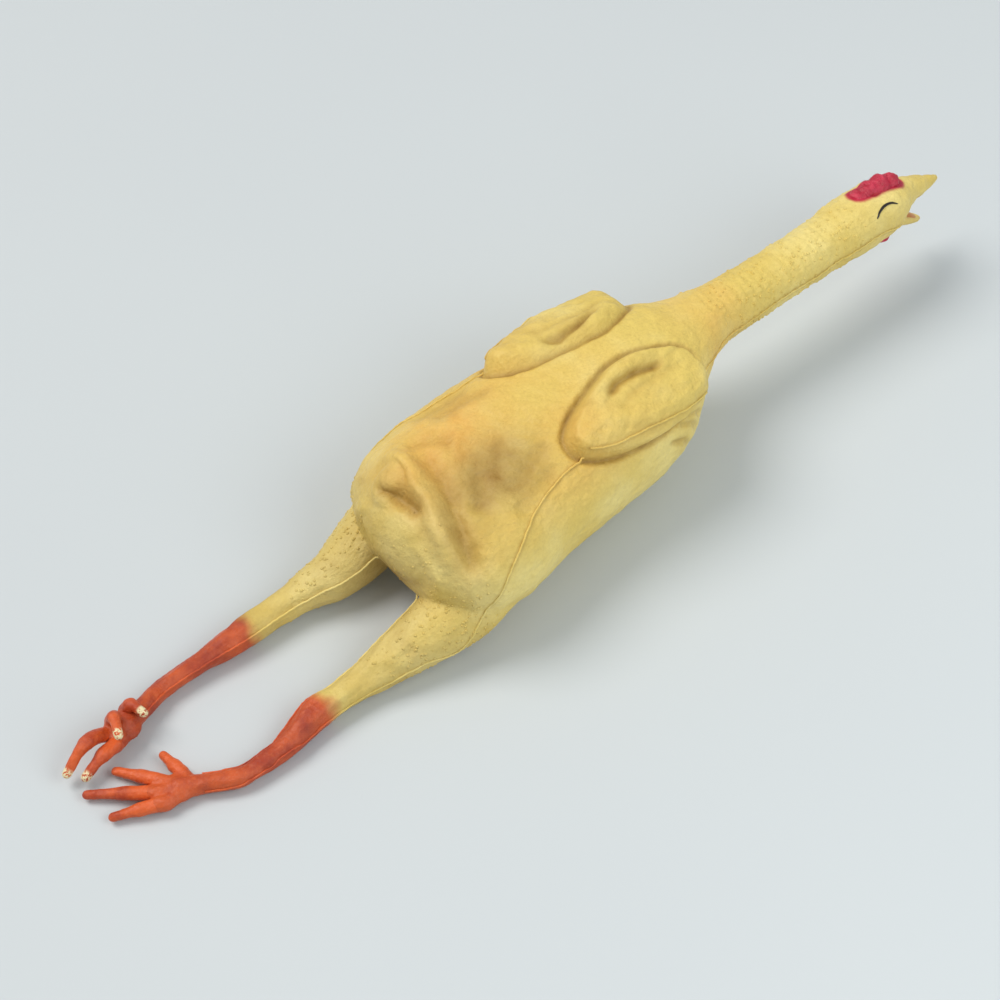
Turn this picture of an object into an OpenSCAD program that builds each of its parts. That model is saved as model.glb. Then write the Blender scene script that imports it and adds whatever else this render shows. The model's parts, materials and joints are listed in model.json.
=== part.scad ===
// Rubber chicken: a hollow latex skin, divided where it flops.
// +X runs along the neck to the beak, +Y is the bird's left, +Z is up.
// The origin lies on the floor, under the flat spot of the belly.

/* [Torso] */
// Length from the rump to the collar of the neck
torso_length = 176; // [156:1:200]
// Width across the haunches
torso_width = 96; // [82:1:115]
// Height from the belly to the back
torso_height = 70; // [60:1:84]
// How far the slack torso lies off the line of the neck
side_drift = 6.5; // [0:0.5:9]
// Thickness of the latex
skin_wall = 2; // [1.6:0.1:2.6]

/* [Neck] */
// Height of the middle of the neck above the floor
neck_height = 46; // [40:0.5:52]
// Length of one of the three lengths of neck
neck_segment = 25; // [21:0.5:32]
// Diameter where the neck leaves the torso
neck_root_d = 28.8; // [25:0.2:34]
// Diameter half-way up
neck_mid_d = 24.8; // [21:0.2:29]
// Diameter under the head
neck_top_d = 26.8; // [24:0.2:31]

/* [Head] */
// Length from the last neck bend to the beak's tip
head_length = 71; // [62:0.5:82]
// Width of the head at the cheeks
head_width = 28; // [25:0.5:31]
// Length of the upper beak in front of the mouth's corner
beak_length = 31; // [25:0.5:37]
// How far the lower beak hangs open at rest
beak_open = 36; // [30:1:42]
// Length of the lower beak from its hinge
lower_beak_length = 28; // [23:0.5:30]
// Length of the comb
comb_length = 29; // [24:0.5:34]
// Height of the comb above the crown
comb_rise = 4.5; // [2.5:0.1:7]
// Length of the wattle
wattle_length = 14; // [10:0.5:17]

/* [Wings] */
// Length of a folded wing from shoulder to elbow
wing_length = 74; // [62:1:84]
// Thickness of a wing over the flank
wing_rise = 6; // [4.5:0.1:8]

/* [Legs] */
// Length of a thigh, from the hip bend to the knee bend
thigh_length = 23; // [20:0.2:28]
// Length of a shin, from the knee bend to the hock
shin_length = 25.6; // [22:0.2:31]
// Length of a shank, from the hock to the ankle
shank_length = 46; // [38:0.2:56]
// Diameter at the hip bend
hip_d = 22; // [19:0.2:26]
// Diameter at the knee bend
knee_d = 14.6; // [13:0.2:17.4]
// Diameter at the hock
hock_d = 13.4; // [12:0.2:16]
// Diameter at the ankle
ankle_d = 8.4; // [7.6:0.2:10]

/* [Feet] */
// Distance from the ankle to the middle of the palm
palm_reach = 24; // [21:0.5:28]
// Width of the palm
palm_width = 15; // [13:0.5:18]
// Diameter of a toe at its root
toe_root_d = 6; // [5:0.1:6.2]
// Diameter of a toe at its tip
toe_tip_d = 3.6; // [3:0.1:4.6]
// Length of a back toe
back_toe_length = 14; // [12:0.5:16]
// Length of an inner toe
inner_toe_length = 20; // [17:0.5:23]
// Length of a middle toe
middle_toe_length = 28; // [24:0.5:32]
// Length of an outer toe
outer_toe_length = 21; // [18:0.5:24]

/* [Bends] */
// How far each neck bend flops to either side of rest
neck_bend = 28; // [15:1:30]
// How far each leg bend flops to either side of rest
leg_bend = 26; // [15:1:28]
// How far a toe curls to either side of rest
toe_bend = 24; // [12:1:26]
// Gap between two pieces of skin that move on each other
bend_gap = 0.3; // [0.25:0.05:0.4]

/* [Hidden] */

latex = [0.93, 0.80, 0.42];
latex_deep = [0.88, 0.70, 0.33];
orange = [0.90, 0.38, 0.16];
crimson = [0.78, 0.12, 0.18];

function ahead(heading, climb, far) =
    far * [cos(climb) * cos(heading), cos(climb) * sin(heading), sin(climb)];

// The neck's first bend, the two beyond it and the head's, almost in a straight line
collar_x = 102;
collar_y = 2;
neck_headings = [-2.2, -1.6, -0.8];
neck_1 = [collar_x, collar_y, neck_height];
neck_2 = neck_1 + ahead(neck_headings[0], 0, neck_segment);
neck_3 = neck_2 + ahead(neck_headings[1], 0, neck_segment);
head_at = neck_3 + ahead(neck_headings[2], 0, neck_segment);

// Every leg bend leaves room for the slight kink that the leg has at rest
rest_kink = 12;

// Headings and climbs of thigh, shin, shank and foot, in degrees
right_headings = [174.9, 178.2, 182.2, 149];
right_climbs = [-11.3, -2.9, -2.7, -1];
left_headings = [171.7, 178.2, 179.3, 196];
left_climbs = [-10.5, -3.1, -2, 5];

// The hips lie behind and beside the middle of the torso
hip_back = 95;
hip_height = 13;
hip_apart = 50.5;
hip_drift = 4.8;
right_hip = [-hip_back - 2, -hip_apart / 2 - hip_drift, hip_height];
left_hip = [-hip_back + 1, hip_apart / 2 - hip_drift, hip_height];

right_knee = right_hip + ahead(right_headings[0], right_climbs[0], thigh_length);
right_hock = right_knee + ahead(right_headings[1], right_climbs[1], shin_length);
right_ankle = right_hock + ahead(right_headings[2], right_climbs[2], shank_length);
left_knee = left_hip + ahead(left_headings[0], left_climbs[0], thigh_length);
left_hock = left_knee + ahead(left_headings[1], left_climbs[1], shin_length);
left_ankle = left_hock + ahead(left_headings[2], left_climbs[2], shank_length);

boss_lip = 0.3;

// Toes in the foot's own frame: root, then splay, lift and curl in degrees.
// The right foot lies open, the left one is curled. Neighbours lie just over a toe apart.
right_toes = [
    [[palm_reach - 4, -palm_width / 2 + 0.5, 0], -58, 0, 4],
    [[palm_reach + toe_root_d + 0.2, 0.7 - toe_root_d, 0], -27, 0, 5],
    [[palm_reach + toe_root_d + 3.2, 0.3, 0], -10, 0, 3],
    [[palm_reach + toe_root_d + 0.5, toe_root_d + 0.5, 0], 6, 0, 5]
];
left_toes = [
    [[palm_reach - 8, -palm_width / 2 + 4, 2.5], 86, 72, 78],
    [[palm_reach, -palm_width / 2 + 3, 3], 48, 64, 66],
    [[palm_reach + toe_root_d + 0.5, -palm_width / 2 + 3.1, 0], -4, 34, 76],
    [[palm_reach + toe_root_d + 1, toe_root_d - palm_width / 2 + 3.9, -1], -5, 8, 34]
];

// Stations of the torso: share of its length, shares of its half width and half height,
// height of its middle as a share of the torso's height, and its share of the drift
stations = [
    [0.000, 0.42, 0.40, 0.543, -0.92],
    [0.017, 0.65, 0.63, 0.529, -0.88],
    [0.051, 0.83, 0.80, 0.521, -0.80],
    [0.114, 0.95, 0.93, 0.507, -0.65],
    [0.216, 1.00, 1.01, 0.493, -0.38],
    [0.352, 0.96, 1.01, 0.493, 0.10],
    [0.477, 0.94, 1.00, 0.493, 0.25],
    [0.591, 0.91, 0.99, 0.493, 0.35],
    [0.705, 0.88, 0.97, 0.493, 0.40],
    [0.790, 0.81, 0.91, 0.510, 0.40],
    [0.847, 0.73, 0.83, 0.535, 0.36],
    [0.898, 0.58, 0.69, 0.575, 0.33],
    [0.949, 0.44, 0.54, 0.620, 0.32]
];
rump_x = collar_x - 10 - torso_length;
torso_facets = 36;

// Place children at a joint, with their x axis along a heading and a climb
module set_at(spot, heading = 0, climb = 0) {
    translate(spot) rotate([0, -climb, heading]) children();
}

// One thin oval slice of the torso, drawn in by the wall when it is the inside
module torso_slice(s, inset) {
    translate([
        rump_x + s[0] * torso_length,
        s[4] * side_drift,
        s[3] * torso_height
    ])
        rotate([90, 0, 90])
            linear_extrude(0.2)
                scale([
                    s[1] * torso_width / 2 - inset,
                    s[2] * torso_height / 2 - inset
                ])
                    circle(r = 1, $fn = torso_facets);
}

// One column of the stations, read at any x
function station_at(x, column) =
    lookup((x - rump_x) / torso_length, [for (s = stations) [s[0], s[column]]]);

// A point off the torso's skin: turn goes from the flank (0) over the back (90)
function off_skin(x, side, turn, out) = [
    x,
    station_at(x, 4) * side_drift
        + side * cos(turn) * (station_at(x, 1) * torso_width / 2 + out),
    station_at(x, 3) * torso_height
        + sin(turn) * (station_at(x, 2) * torso_height / 2 + out)
];

// Distance that a parent's rim stays behind a bend
function rim_back(ball_r, bend) = ball_r * sin(bend) + bend_gap;
function neck_rim(ball_d) = rim_back(ball_d / 2, neck_bend + 2);
function leg_rim(ball_d) = rim_back(ball_d / 2, leg_bend + rest_kink);
function toe_rim() = rim_back(toe_root_d / 2, toe_bend + 4);

module collar(inset) {
    s = stations[len(stations) - 1];
    hull() {
        torso_slice(s, inset);
        translate([collar_x - neck_rim(neck_root_d) - 0.2, collar_y, neck_height])
            rotate([0, 90, neck_headings[0]])
                cylinder(h = inset > 0 ? 4 : 0.2, d = neck_root_d - 2 * inset, $fn = torso_facets);
    }
}

// A haunch runs from inside the torso to the rim of the hip
module haunch(hip, heading, climb, inset) {
    hull() {
        translate([hip[0] + 42, hip[1] * 0.74, hip[2] + 13])
            sphere(r = hip_d / 2 + 6 - inset, $fn = 24);
        translate([hip[0] + 24, hip[1] * 0.94, hip[2] + 5])
            sphere(r = hip_d / 2 + 2.2 - inset, $fn = 24);
    }
    hull() {
        translate([hip[0] + 24, hip[1] * 0.94, hip[2] + 5])
            sphere(r = hip_d / 2 + 2.2 - inset, $fn = 24);
        set_at(hip, heading, climb)
            translate([-leg_rim(hip_d), 0, 0])
                rotate([0, -90, 0])
                    translate([0, 0, inset > 0 ? -4 : 0])
                        cylinder(h = 3, d = hip_d + 0.8 - 2 * inset, $fn = 28);
    }
}

module torso_form(inset) {
    for (i = [0 : len(stations) - 2])
        hull() {
            torso_slice(stations[i], inset);
            torso_slice(stations[i + 1], inset);
        }
    collar(inset);
    haunch(right_hip, right_headings[0], right_climbs[0], inset);
    haunch(left_hip, left_headings[0], left_climbs[0], inset);
}

module torso() {
    color(latex)
        difference() {
            torso_form(0);
            intersection() {
                torso_form(skin_wall);
                // keep the inside clear of the flat rump and of the belly
                translate([rump_x + skin_wall, -torso_width, skin_wall])
                    cube([2 * torso_length, 2 * torso_width, 2 * torso_height]);
            }
            translate(neck_1)
                sphere(d = neck_root_d + 2 * bend_gap, $fn = 40);
            for (side = [[right_hip, right_headings[0], right_climbs[0]],
                         [left_hip, left_headings[0], left_climbs[0]]])
                set_at(side[0], side[1], side[2])
                    sphere(d = hip_d + 2 * bend_gap, $fn = 36);
            // the flat spot that the bird lies on
            translate([-torso_length, -torso_width, -20])
                cube([2 * torso_length, 2 * torso_width, 20]);
        }
}

// The parson's nose: a lobe high on the rump, which slumps to the left
module tail() {
    color(latex_deep)
        difference() {
            hull() {
                translate(off_skin(rump_x + 21, 1, 72, -9))
                    sphere(r = 12, $fn = 24);
                translate(off_skin(rump_x + 10, 1, 58, -4))
                    sphere(r = 8.5, $fn = 24);
            }
            torso_form(0);
        }
}

// A folded wing: upper arm back from the shoulder, forearm forward below it
module wing_form(side) {
    front = collar_x - 28;
    back = front - wing_length;
    pad = 9;
    out = wing_rise - pad;
    shoulder = off_skin(front - 10, side, 66, out);
    top = off_skin(back + 44, side, 71, out);
    crook = off_skin(back + 14, side, 60, out);
    elbow = off_skin(back + 9, side, 50, out);
    under = off_skin(back + 32, side, 36, out);
    wrist = off_skin(back + 54, side, 23, out);
    tip = off_skin(front - 12, side, 15, out);
    for (group = [
        [shoulder, top, crook],
        [crook, elbow, under, top],
        [under, wrist, shoulder, top],
        [wrist, tip, shoulder]
    ])
        hull()
            for (spot = group)
                translate(spot) sphere(r = pad, $fn = 20);
}

module wing(side) {
    color(latex)
        difference() {
            wing_form(side);
            torso_form(0);
        }
}

// A length of hollow skin: a ball at its own bend and a cup for the next one.
// Outline points run [distance along, radius]; the last one is the next bend.
module skin_tube(ball_d, outline, next_d, rim, wall, facets = 40) {
    ball_r = ball_d / 2;
    far = outline[len(outline) - 1][0];
    points = concat([[0, ball_r]], outline);
    rotate([0, 90, 0])
        rotate_extrude($fn = facets)
            difference() {
                union() {
                    polygon(concat(
                        [for (p = points) [p[1], p[0]]],
                        [for (i = [len(points) - 1 : -1 : 0]) [points[i][1] - wall, points[i][0]]]
                    ));
                    // the ball, open at the back
                    difference() {
                        circle(r = ball_r, $fn = 64);
                        circle(r = ball_r - wall, $fn = 64);
                        translate([-2 * ball_r, 0]) square([4 * ball_r, 2 * ball_r]);
                        translate([-2 * ball_r, -2 * ball_r]) square([2.5 * ball_r, 4 * ball_r]);
                    }
                }
                translate([0, far]) circle(d = next_d + 2 * bend_gap, $fn = 64);
                translate([-1, far - rim]) square([next_d * 2, rim + 20]);
            }
}

module neck_tube(spot, heading, from_d, mid_share_d, to_d) {
    color(latex)
        set_at(spot, heading)
            skin_tube(
                from_d,
                [[neck_segment * 0.5, mid_share_d / 2], [neck_segment, to_d / 2]],
                to_d, neck_rim(to_d), skin_wall
            );
}

module neck_lower() {
    neck_tube(neck_1, neck_headings[0], neck_root_d, (neck_root_d + neck_mid_d) / 2 - 0.6, neck_mid_d + 0.6);
}

module neck_middle() {
    neck_tube(neck_2, neck_headings[1], neck_mid_d + 0.6, neck_mid_d - 0.2, neck_mid_d - 0.4);
}

module neck_upper() {
    neck_tube(neck_3, neck_headings[2], neck_mid_d - 0.4, neck_mid_d + 0.2, neck_top_d);
}

// The mouth's hinge line, across the head, and the length of skull behind it
jaw_back = head_length - beak_length;
jaw_at = head_at + [jaw_back, 0, -9];
jaw_r = 5.5;
jaw_width = head_width * 0.62;
beak_drop = 7;

// One ball of the head's outline, in the head's own frame
module head_ball(x, z, r, wide, inset) {
    translate([x, 0, z])
        scale([1, (wide - inset) / (r - inset), 1])
            sphere(r = r - inset, $fn = 24);
}

module head_form(inset) {
    neck_r = neck_top_d / 2;
    w = head_width / 2;
    hull() {
        rotate([0, 90, 0]) cylinder(h = 0.5, r = neck_r - inset, $fn = 32);
        head_ball(jaw_back * 0.45, 0.5, neck_r - 0.3, w - 0.3, inset);
    }
    hull() {
        head_ball(jaw_back * 0.45, 0.5, neck_r - 0.3, w - 0.3, inset);
        head_ball(jaw_back * 0.78, 0.8, neck_r - 1, w, inset);
    }
    hull() {
        head_ball(jaw_back * 0.78, 0.8, neck_r - 1, w, inset);
        head_ball(jaw_back + 3, 0, neck_r - 4.5, w - 3.5, inset);
    }
}

module beak_form() {
    w = head_width / 2;
    hull() {
        head_ball(jaw_back + 3, 0, neck_top_d / 2 - 4.5, w - 3.5, 0);
        head_ball(jaw_back + beak_length * 0.42, -3.6, 6, 7.2, 0);
    }
    hull() {
        head_ball(jaw_back + beak_length * 0.42, -3.6, 6, 7.2, 0);
        head_ball(head_length - 2.2, 1 - beak_drop, 2.2, 2.4, 0);
    }
}

// Everything that the lower beak needs in front of and around its hinge
module mouth_space() {
    far = beak_length + 20;
    translate([jaw_back, 0, -9])
        rotate([90, 0, 0])
            linear_extrude(4 * head_width, center = true)
                union() {
                    circle(r = jaw_r + bend_gap, $fn = 36);
                    polygon([
                        [0, jaw_r * 0.1 + bend_gap],
                        [jaw_r, jaw_r * 0.1 + bend_gap],
                        [far, jaw_r * 0.1 + bend_gap],
                        [far, -far],
                        [-jaw_r * 0.4, -far],
                        [-jaw_r - bend_gap, 0]
                    ]);
                }
}

// The crown, and a ridge over each eye
module brow_form() {
    hull() {
        head_ball(jaw_back * 0.5, 3, neck_top_d / 2 - 3, head_width / 2 - 2, 0);
        head_ball(jaw_back + 1, 2, 8, 7.5, 0);
    }
    for (side = [-1, 1])
        hull() {
            translate([jaw_back * 0.7, side * head_width * 0.27, 7.2])
                sphere(r = 4, $fn = 16);
            translate([jaw_back * 0.98, side * head_width * 0.2, 5.6])
                sphere(r = 3, $fn = 16);
        }
}

module head() {
    color(latex)
        set_at(head_at)
            difference() {
                union() {
                    head_form(0);
                    beak_form();
                    // the ball of the last neck bend
                    difference() {
                        sphere(d = neck_top_d, $fn = 36);
                        translate([-neck_top_d * 1.44, -neck_top_d, -neck_top_d])
                            cube([neck_top_d, 2 * neck_top_d, 2 * neck_top_d]);
                    }
                    brow_form();
                }
                // the hollow of the skull, open into the neck
                difference() {
                    hull() {
                        translate([-neck_top_d * 0.52, 0, 0])
                            rotate([0, 90, 0])
                                cylinder(h = 1, d = neck_top_d - 4 * skin_wall, $fn = 28);
                        head_ball(jaw_back * 0.6, 2, neck_top_d / 2 - 2, head_width / 2 - 1, skin_wall);
                    }
                    // a wall between the skull and the mouth
                    translate([jaw_back - jaw_r - skin_wall - 1, -head_width, -40])
                        cube([60, 2 * head_width, 40 - 1]);
                }
                mouth_space();
            }
}

// The comb sits along the crown, in three lobes that lean a little to the left
module comb() {
    crown = neck_top_d / 2;
    start = jaw_back - comb_length + 5;
    lean = 1.5;
    color(crimson)
        set_at(head_at)
            difference() {
                for (k = [0 : 2])
                    hull() {
                        translate([start + comb_length * (0.14 + 0.27 * k), lean, crown - 6])
                            scale([1.2, 1.05, 1]) sphere(r = 6, $fn = 18);
                        translate([start + comb_length * (0.20 + 0.28 * k), 1.6 * lean,
                                   crown + comb_rise - 3.6 - 0.8 * abs(k - 1.4)])
                            scale([1.4, 1, 1]) sphere(r = 3.2, $fn = 18);
                    }
                head_form(0);
                beak_form();
                brow_form();
            }
}

// The wattle hangs under the chin, behind the hinge of the lower beak
module wattle() {
    chin = neck_top_d / 2;
    color(crimson)
        set_at(head_at)
            difference() {
                for (side = [-1, 1])
                    hull() {
                        translate([jaw_back - 13, side * 3, -chin + 4])
                            sphere(r = 4, $fn = 16);
                        translate([jaw_back - 13 + wattle_length * 0.2, side * 3.4,
                                   -chin - wattle_length * 0.22])
                            sphere(r = 2.8, $fn = 16);
                    }
                head_form(0);
                mouth_space();
            }
}

// The lower beak: a scoop on a round knuckle, drawn shut and hung open
module lower_beak() {
    tip_r = 1.6;
    color(latex_deep)
        translate(jaw_at)
            rotate([0, beak_open, 0])
                difference() {
                    union() {
                        rotate([90, 0, 0])
                            cylinder(r = jaw_r, h = jaw_width, center = true, $fn = 48);
                        hull() {
                            rotate([90, 0, 0])
                                cylinder(r = jaw_r - 0.5, h = jaw_width * 0.9, center = true, $fn = 32);
                            translate([lower_beak_length - tip_r - 3, 0, -1.6])
                                rotate([90, 0, 0])
                                    cylinder(r = tip_r, h = 5, center = true, $fn = 32);
                            translate([lower_beak_length - tip_r, 0, -1.6])
                                sphere(r = tip_r, $fn = 24);
                        }
                    }
                    // flat top, which meets the upper beak when shut
                    translate([0, -head_width, jaw_r * 0.1])
                        rotate([0, -1, 0])
                            cube([60, 2 * head_width, 20]);
                    // the scoop
                    hull() {
                        translate([jaw_r + 3, 0, 1.2]) scale([1, 1.5, 1]) sphere(r = 3.4, $fn = 24);
                        translate([lower_beak_length - 6, 0, 0.8]) sphere(r = 1.7, $fn = 24);
                    }
                }
}

// Legs

module thigh(hip, heading, climb) {
    color(latex)
        set_at(hip, heading, climb)
            skin_tube(
                hip_d,
                [[thigh_length * 0.5, (hip_d + knee_d) / 4], [thigh_length, knee_d / 2]],
                knee_d, leg_rim(knee_d), skin_wall
            );
}

module shin(knee, heading, climb) {
    color(latex_deep)
        set_at(knee, heading, climb)
            skin_tube(
                knee_d,
                [[shin_length * 0.45, (knee_d + hock_d) / 4 - 0.3], [shin_length, hock_d / 2]],
                hock_d, leg_rim(hock_d), skin_wall
            );
}

module shank(hock, heading, climb) {
    color(orange)
        set_at(hock, heading, climb)
            skin_tube(
                hock_d,
                [
                    [shank_length * 0.22, hock_d / 2 - 0.3],
                    [shank_length * 0.45, (hock_d + ankle_d) / 4 + 0.1],
                    [shank_length * 0.75, ankle_d / 2 + 0.3],
                    [shank_length, ankle_d / 2]
                ],
                ankle_d, leg_rim(ankle_d), skin_wall
            );
}

// The wedge of air that a toe swings through, in the toe's own frame
module toe_swing() {
    r = toe_root_d / 2 + bend_gap;
    far = 13;
    flare = r + far * tan(toe_bend + 1);
    rotate([90, 0, 0])
        linear_extrude(2 * r, center = true)
            hull() {
                circle(r = r, $fn = 20);
                polygon([[far, flare], [far, -flare], [0, 0]]);
            }
}

// One ball of a palm, flattened by thick where it is wider than the ankle
module palm_ball(x, wide, thick, deep = 1) {
    translate([x, 0, 0])
        scale([deep, 1, thick * ankle_d / wide])
            sphere(d = wide, $fn = 14);
}

// A foot's palm, with a boss behind each toe
module palm(ankle, heading, climb, toes, thick) {
    color(orange)
        set_at(ankle, heading, climb)
            difference() {
                union() {
                    sphere(d = ankle_d, $fn = 24);
                    hull() {
                        palm_ball(0.6, ankle_d - 0.8, 0.9);
                        palm_ball(palm_reach * 0.5, ankle_d + 0.6, thick);
                    }
                    hull() {
                        palm_ball(palm_reach * 0.5, ankle_d + 0.6, thick);
                        palm_ball(palm_reach - 1, palm_width, thick);
                    }
                    hull() {
                        palm_ball(palm_reach - 1, palm_width, thick);
                        palm_ball(palm_reach + 3, palm_width - 1, thick * 0.8, 0.7);
                    }
                    for (toe = toes)
                        hull() {
                            translate([palm_reach - 3, 0, 0])
                                sphere(d = toe_root_d, $fn = 12);
                            set_at(toe[0], toe[1], toe[2])
                                translate([-toe_rim() - 1, 0, 0])
                                    rotate([0, 90, 0])
                                        cylinder(h = 1, d = toe_root_d + boss_lip, $fn = 12);
                        }
                }
                for (toe = toes)
                    set_at(toe[0], toe[1], toe[2])
                        toe_swing();
            }
}

// Rings of a toe in its own frame: [along, up, lean of the ring, radius]
function toe_rings(curl, long) =
    let (
        root_r = toe_root_d / 2,
        tip_r = toe_tip_d / 2,
        knuckle = long * 0.45,
        rest = long - knuckle - tip_r
    )
    concat(
        // the ball at the root
        [for (a = [80 : -20 : 0]) [-root_r * sin(a), 0, 0, root_r * cos(a)]],
        [[root_r * 0.4, 0, 0, root_r * 0.93]],
        // the knuckle, where the toe turns down
        [for (k = [-1, 0, 1])
            [
                knuckle + k * (k > 0 ? cos(curl) : 1) * 1.6,
                -(k > 0 ? 1.6 * sin(curl) : 0),
                curl * (k + 1) / 2,
                root_r - (k == 0 ? 0.1 : 0.35)
            ]],
        // the blunt tip
        [for (a = [0 : 20 : 80])
            let (out = rest + tip_r * sin(a))
            [knuckle + out * cos(curl), -out * sin(curl), curl, tip_r * cos(a)]]
    );

// A toe: a ball at its root, a knuckle and a blunt tip, as one swept skin
module toe(ankle, heading, climb, place, long) {
    sides = 14;
    rings = toe_rings(place[3], long);
    last = len(rings) - 1;
    color(orange)
        set_at(ankle, heading, climb)
            set_at(place[0], place[1], place[2])
                polyhedron(
                    points = [
                        for (r = rings)
                            for (k = [0 : sides - 1])
                                let (
                                    across = r[3] * cos(360 * k / sides),
                                    up = r[3] * sin(360 * k / sides)
                                )
                                [r[0] + up * sin(r[2]), across, r[1] + up * cos(r[2])]
                    ],
                    faces = concat(
                        [[for (k = [0 : sides - 1]) k]],
                        [for (i = [0 : last - 1])
                            for (k = [0 : sides - 1])
                                let (a = i * sides + k, b = i * sides + (k + 1) % sides)
                                [a, a + sides, b + sides, b]],
                        [[for (k = [sides - 1 : -1 : 0]) last * sides + k]]
                    )
                );
}

module right_toe(k, long) {
    toe(right_ankle, right_headings[3], right_climbs[3], right_toes[k], long);
}

module left_toe(k, long) {
    toe(left_ankle, left_headings[3], left_climbs[3], left_toes[k], long);
}

torso();
tail();
wing(-1);  // right_wing
wing(1);  // left_wing
neck_lower();
neck_middle();
neck_upper();
head();
comb();
wattle();
lower_beak();
thigh(right_hip, right_headings[0], right_climbs[0]);  // right_thigh
shin(right_knee, right_headings[1], right_climbs[1]);  // right_shin
shank(right_hock, right_headings[2], right_climbs[2]);  // right_shank
palm(right_ankle, right_headings[3], right_climbs[3], right_toes, 0.9);  // right_foot
right_toe(0, back_toe_length);  // right_back_toe
right_toe(1, inner_toe_length);  // right_inner_toe
right_toe(2, middle_toe_length);  // right_middle_toe
right_toe(3, outer_toe_length);  // right_outer_toe
thigh(left_hip, left_headings[0], left_climbs[0]);  // left_thigh
shin(left_knee, left_headings[1], left_climbs[1]);  // left_shin
shank(left_hock, left_headings[2], left_climbs[2]);  // left_shank
palm(left_ankle, left_headings[3], left_climbs[3], left_toes, 1.25);  // left_foot
left_toe(0, back_toe_length);  // left_back_toe
left_toe(1, inner_toe_length);  // left_inner_toe
left_toe(2, middle_toe_length);  // left_middle_toe
left_toe(3, outer_toe_length);  // left_outer_toe
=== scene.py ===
import bpy, bmesh, json, math
import numpy as np
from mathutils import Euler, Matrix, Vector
from mathutils.bvhtree import BVHTree

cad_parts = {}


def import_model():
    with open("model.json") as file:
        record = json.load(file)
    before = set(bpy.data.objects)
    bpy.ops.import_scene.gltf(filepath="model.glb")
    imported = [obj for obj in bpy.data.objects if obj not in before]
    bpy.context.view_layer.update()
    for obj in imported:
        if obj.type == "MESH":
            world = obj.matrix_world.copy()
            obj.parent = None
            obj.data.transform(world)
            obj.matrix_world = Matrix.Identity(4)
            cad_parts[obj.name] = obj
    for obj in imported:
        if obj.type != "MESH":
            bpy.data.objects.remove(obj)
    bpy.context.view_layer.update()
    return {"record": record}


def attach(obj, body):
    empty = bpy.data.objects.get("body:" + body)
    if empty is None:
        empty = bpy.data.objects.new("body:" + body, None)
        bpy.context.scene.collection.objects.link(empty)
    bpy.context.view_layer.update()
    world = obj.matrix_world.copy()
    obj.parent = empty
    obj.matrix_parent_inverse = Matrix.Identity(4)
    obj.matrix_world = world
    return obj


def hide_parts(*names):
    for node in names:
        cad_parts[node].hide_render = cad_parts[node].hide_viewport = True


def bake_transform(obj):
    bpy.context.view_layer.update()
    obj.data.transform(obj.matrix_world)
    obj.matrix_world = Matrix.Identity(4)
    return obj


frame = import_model()
mm = 0.001
joints = {j["name"]: j for j in frame["record"]["behaviour"]["joints"]}


def jointAt(name):
    return np.array(joints[name]["pos_m"]) / mm


def link(obj):
    bpy.context.scene.collection.objects.link(obj)
    return obj


# camera and light first
view = {
    "azimuth": -41.5, "elevation": 50.0, "distance": 1300.0, "target": (-10.2, 12.8, 0.0),
    "lens": 107.0, "sensor": 36, "clip": 20,
}


def makeCamera():
    a, e = math.radians(view["azimuth"]), math.radians(view["elevation"])
    back = Vector((math.sin(a) * math.cos(e), -math.cos(a) * math.cos(e), math.sin(e)))
    data = bpy.data.cameras.new("studioCamera")
    data.lens = view["lens"]
    data.sensor_width = view["sensor"]
    data.clip_end = view["clip"]
    cam = link(bpy.data.objects.new("studioCamera", data))
    cam.location = (Vector(view["target"]) + back * view["distance"]) * mm
    cam.rotation_euler = back.to_track_quat("Z", "Y").to_euler()
    bpy.context.scene.camera = cam


light = {
    "key": {"spot": (-1.1, 1.6, 3.0), "aim": (0, 0, 0), "size": 2.2, "power": 81.0, "tint": (1.0, 0.97, 0.93)},
    "fill": {"spot": (0.15, -1.25, 0.95), "aim": (0, 0, 0), "size": 1.2, "power": 6.0, "tint": (0.94, 0.98, 1.0)},
    "floor": {
        "spot": (0.3, -0.85, 0.9), "aim": (0.3, -0.75, 0), "size": 1.0, "power": 3.4, "tint": (0.94, 1.0, 1.0),
    },
    "world": 0.46, "worldTint": (0.93, 0.975, 1.0),
}


def areaLight(name, lamp):
    data = bpy.data.lights.new(name + "Light", "AREA")
    data.shape = "DISK"
    data.size = lamp["size"]
    data.energy = lamp["power"]
    data.color = lamp["tint"]
    obj = link(bpy.data.objects.new(name + "Light", data))
    obj.location = lamp["spot"]
    obj.rotation_euler = (Vector(lamp["spot"]) - Vector(lamp["aim"])).to_track_quat("Z", "Y").to_euler()


def makeLight():
    for name in ("key", "fill", "floor"):
        areaLight(name, light[name])
    world = bpy.data.worlds.new("paleStudio")
    world.use_nodes = True
    sky = world.node_tree.nodes["Background"]
    sky.inputs["Color"].default_value = (*light["worldTint"], 1)
    sky.inputs["Strength"].default_value = light["world"]
    bpy.context.scene.world = world
    bpy.context.scene.view_settings.view_transform = "Standard"


makeCamera()
makeLight()
print("camera and lights are set")


# small tools for shaping
def unit(v):
    v = np.array(v, float)
    return v / np.linalg.norm(v)


def heading(turnDeg, climbDeg):
    t, c = math.radians(turnDeg), math.radians(climbDeg)
    return np.array([math.cos(c) * math.cos(t), math.cos(c) * math.sin(t), math.sin(c)])


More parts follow.
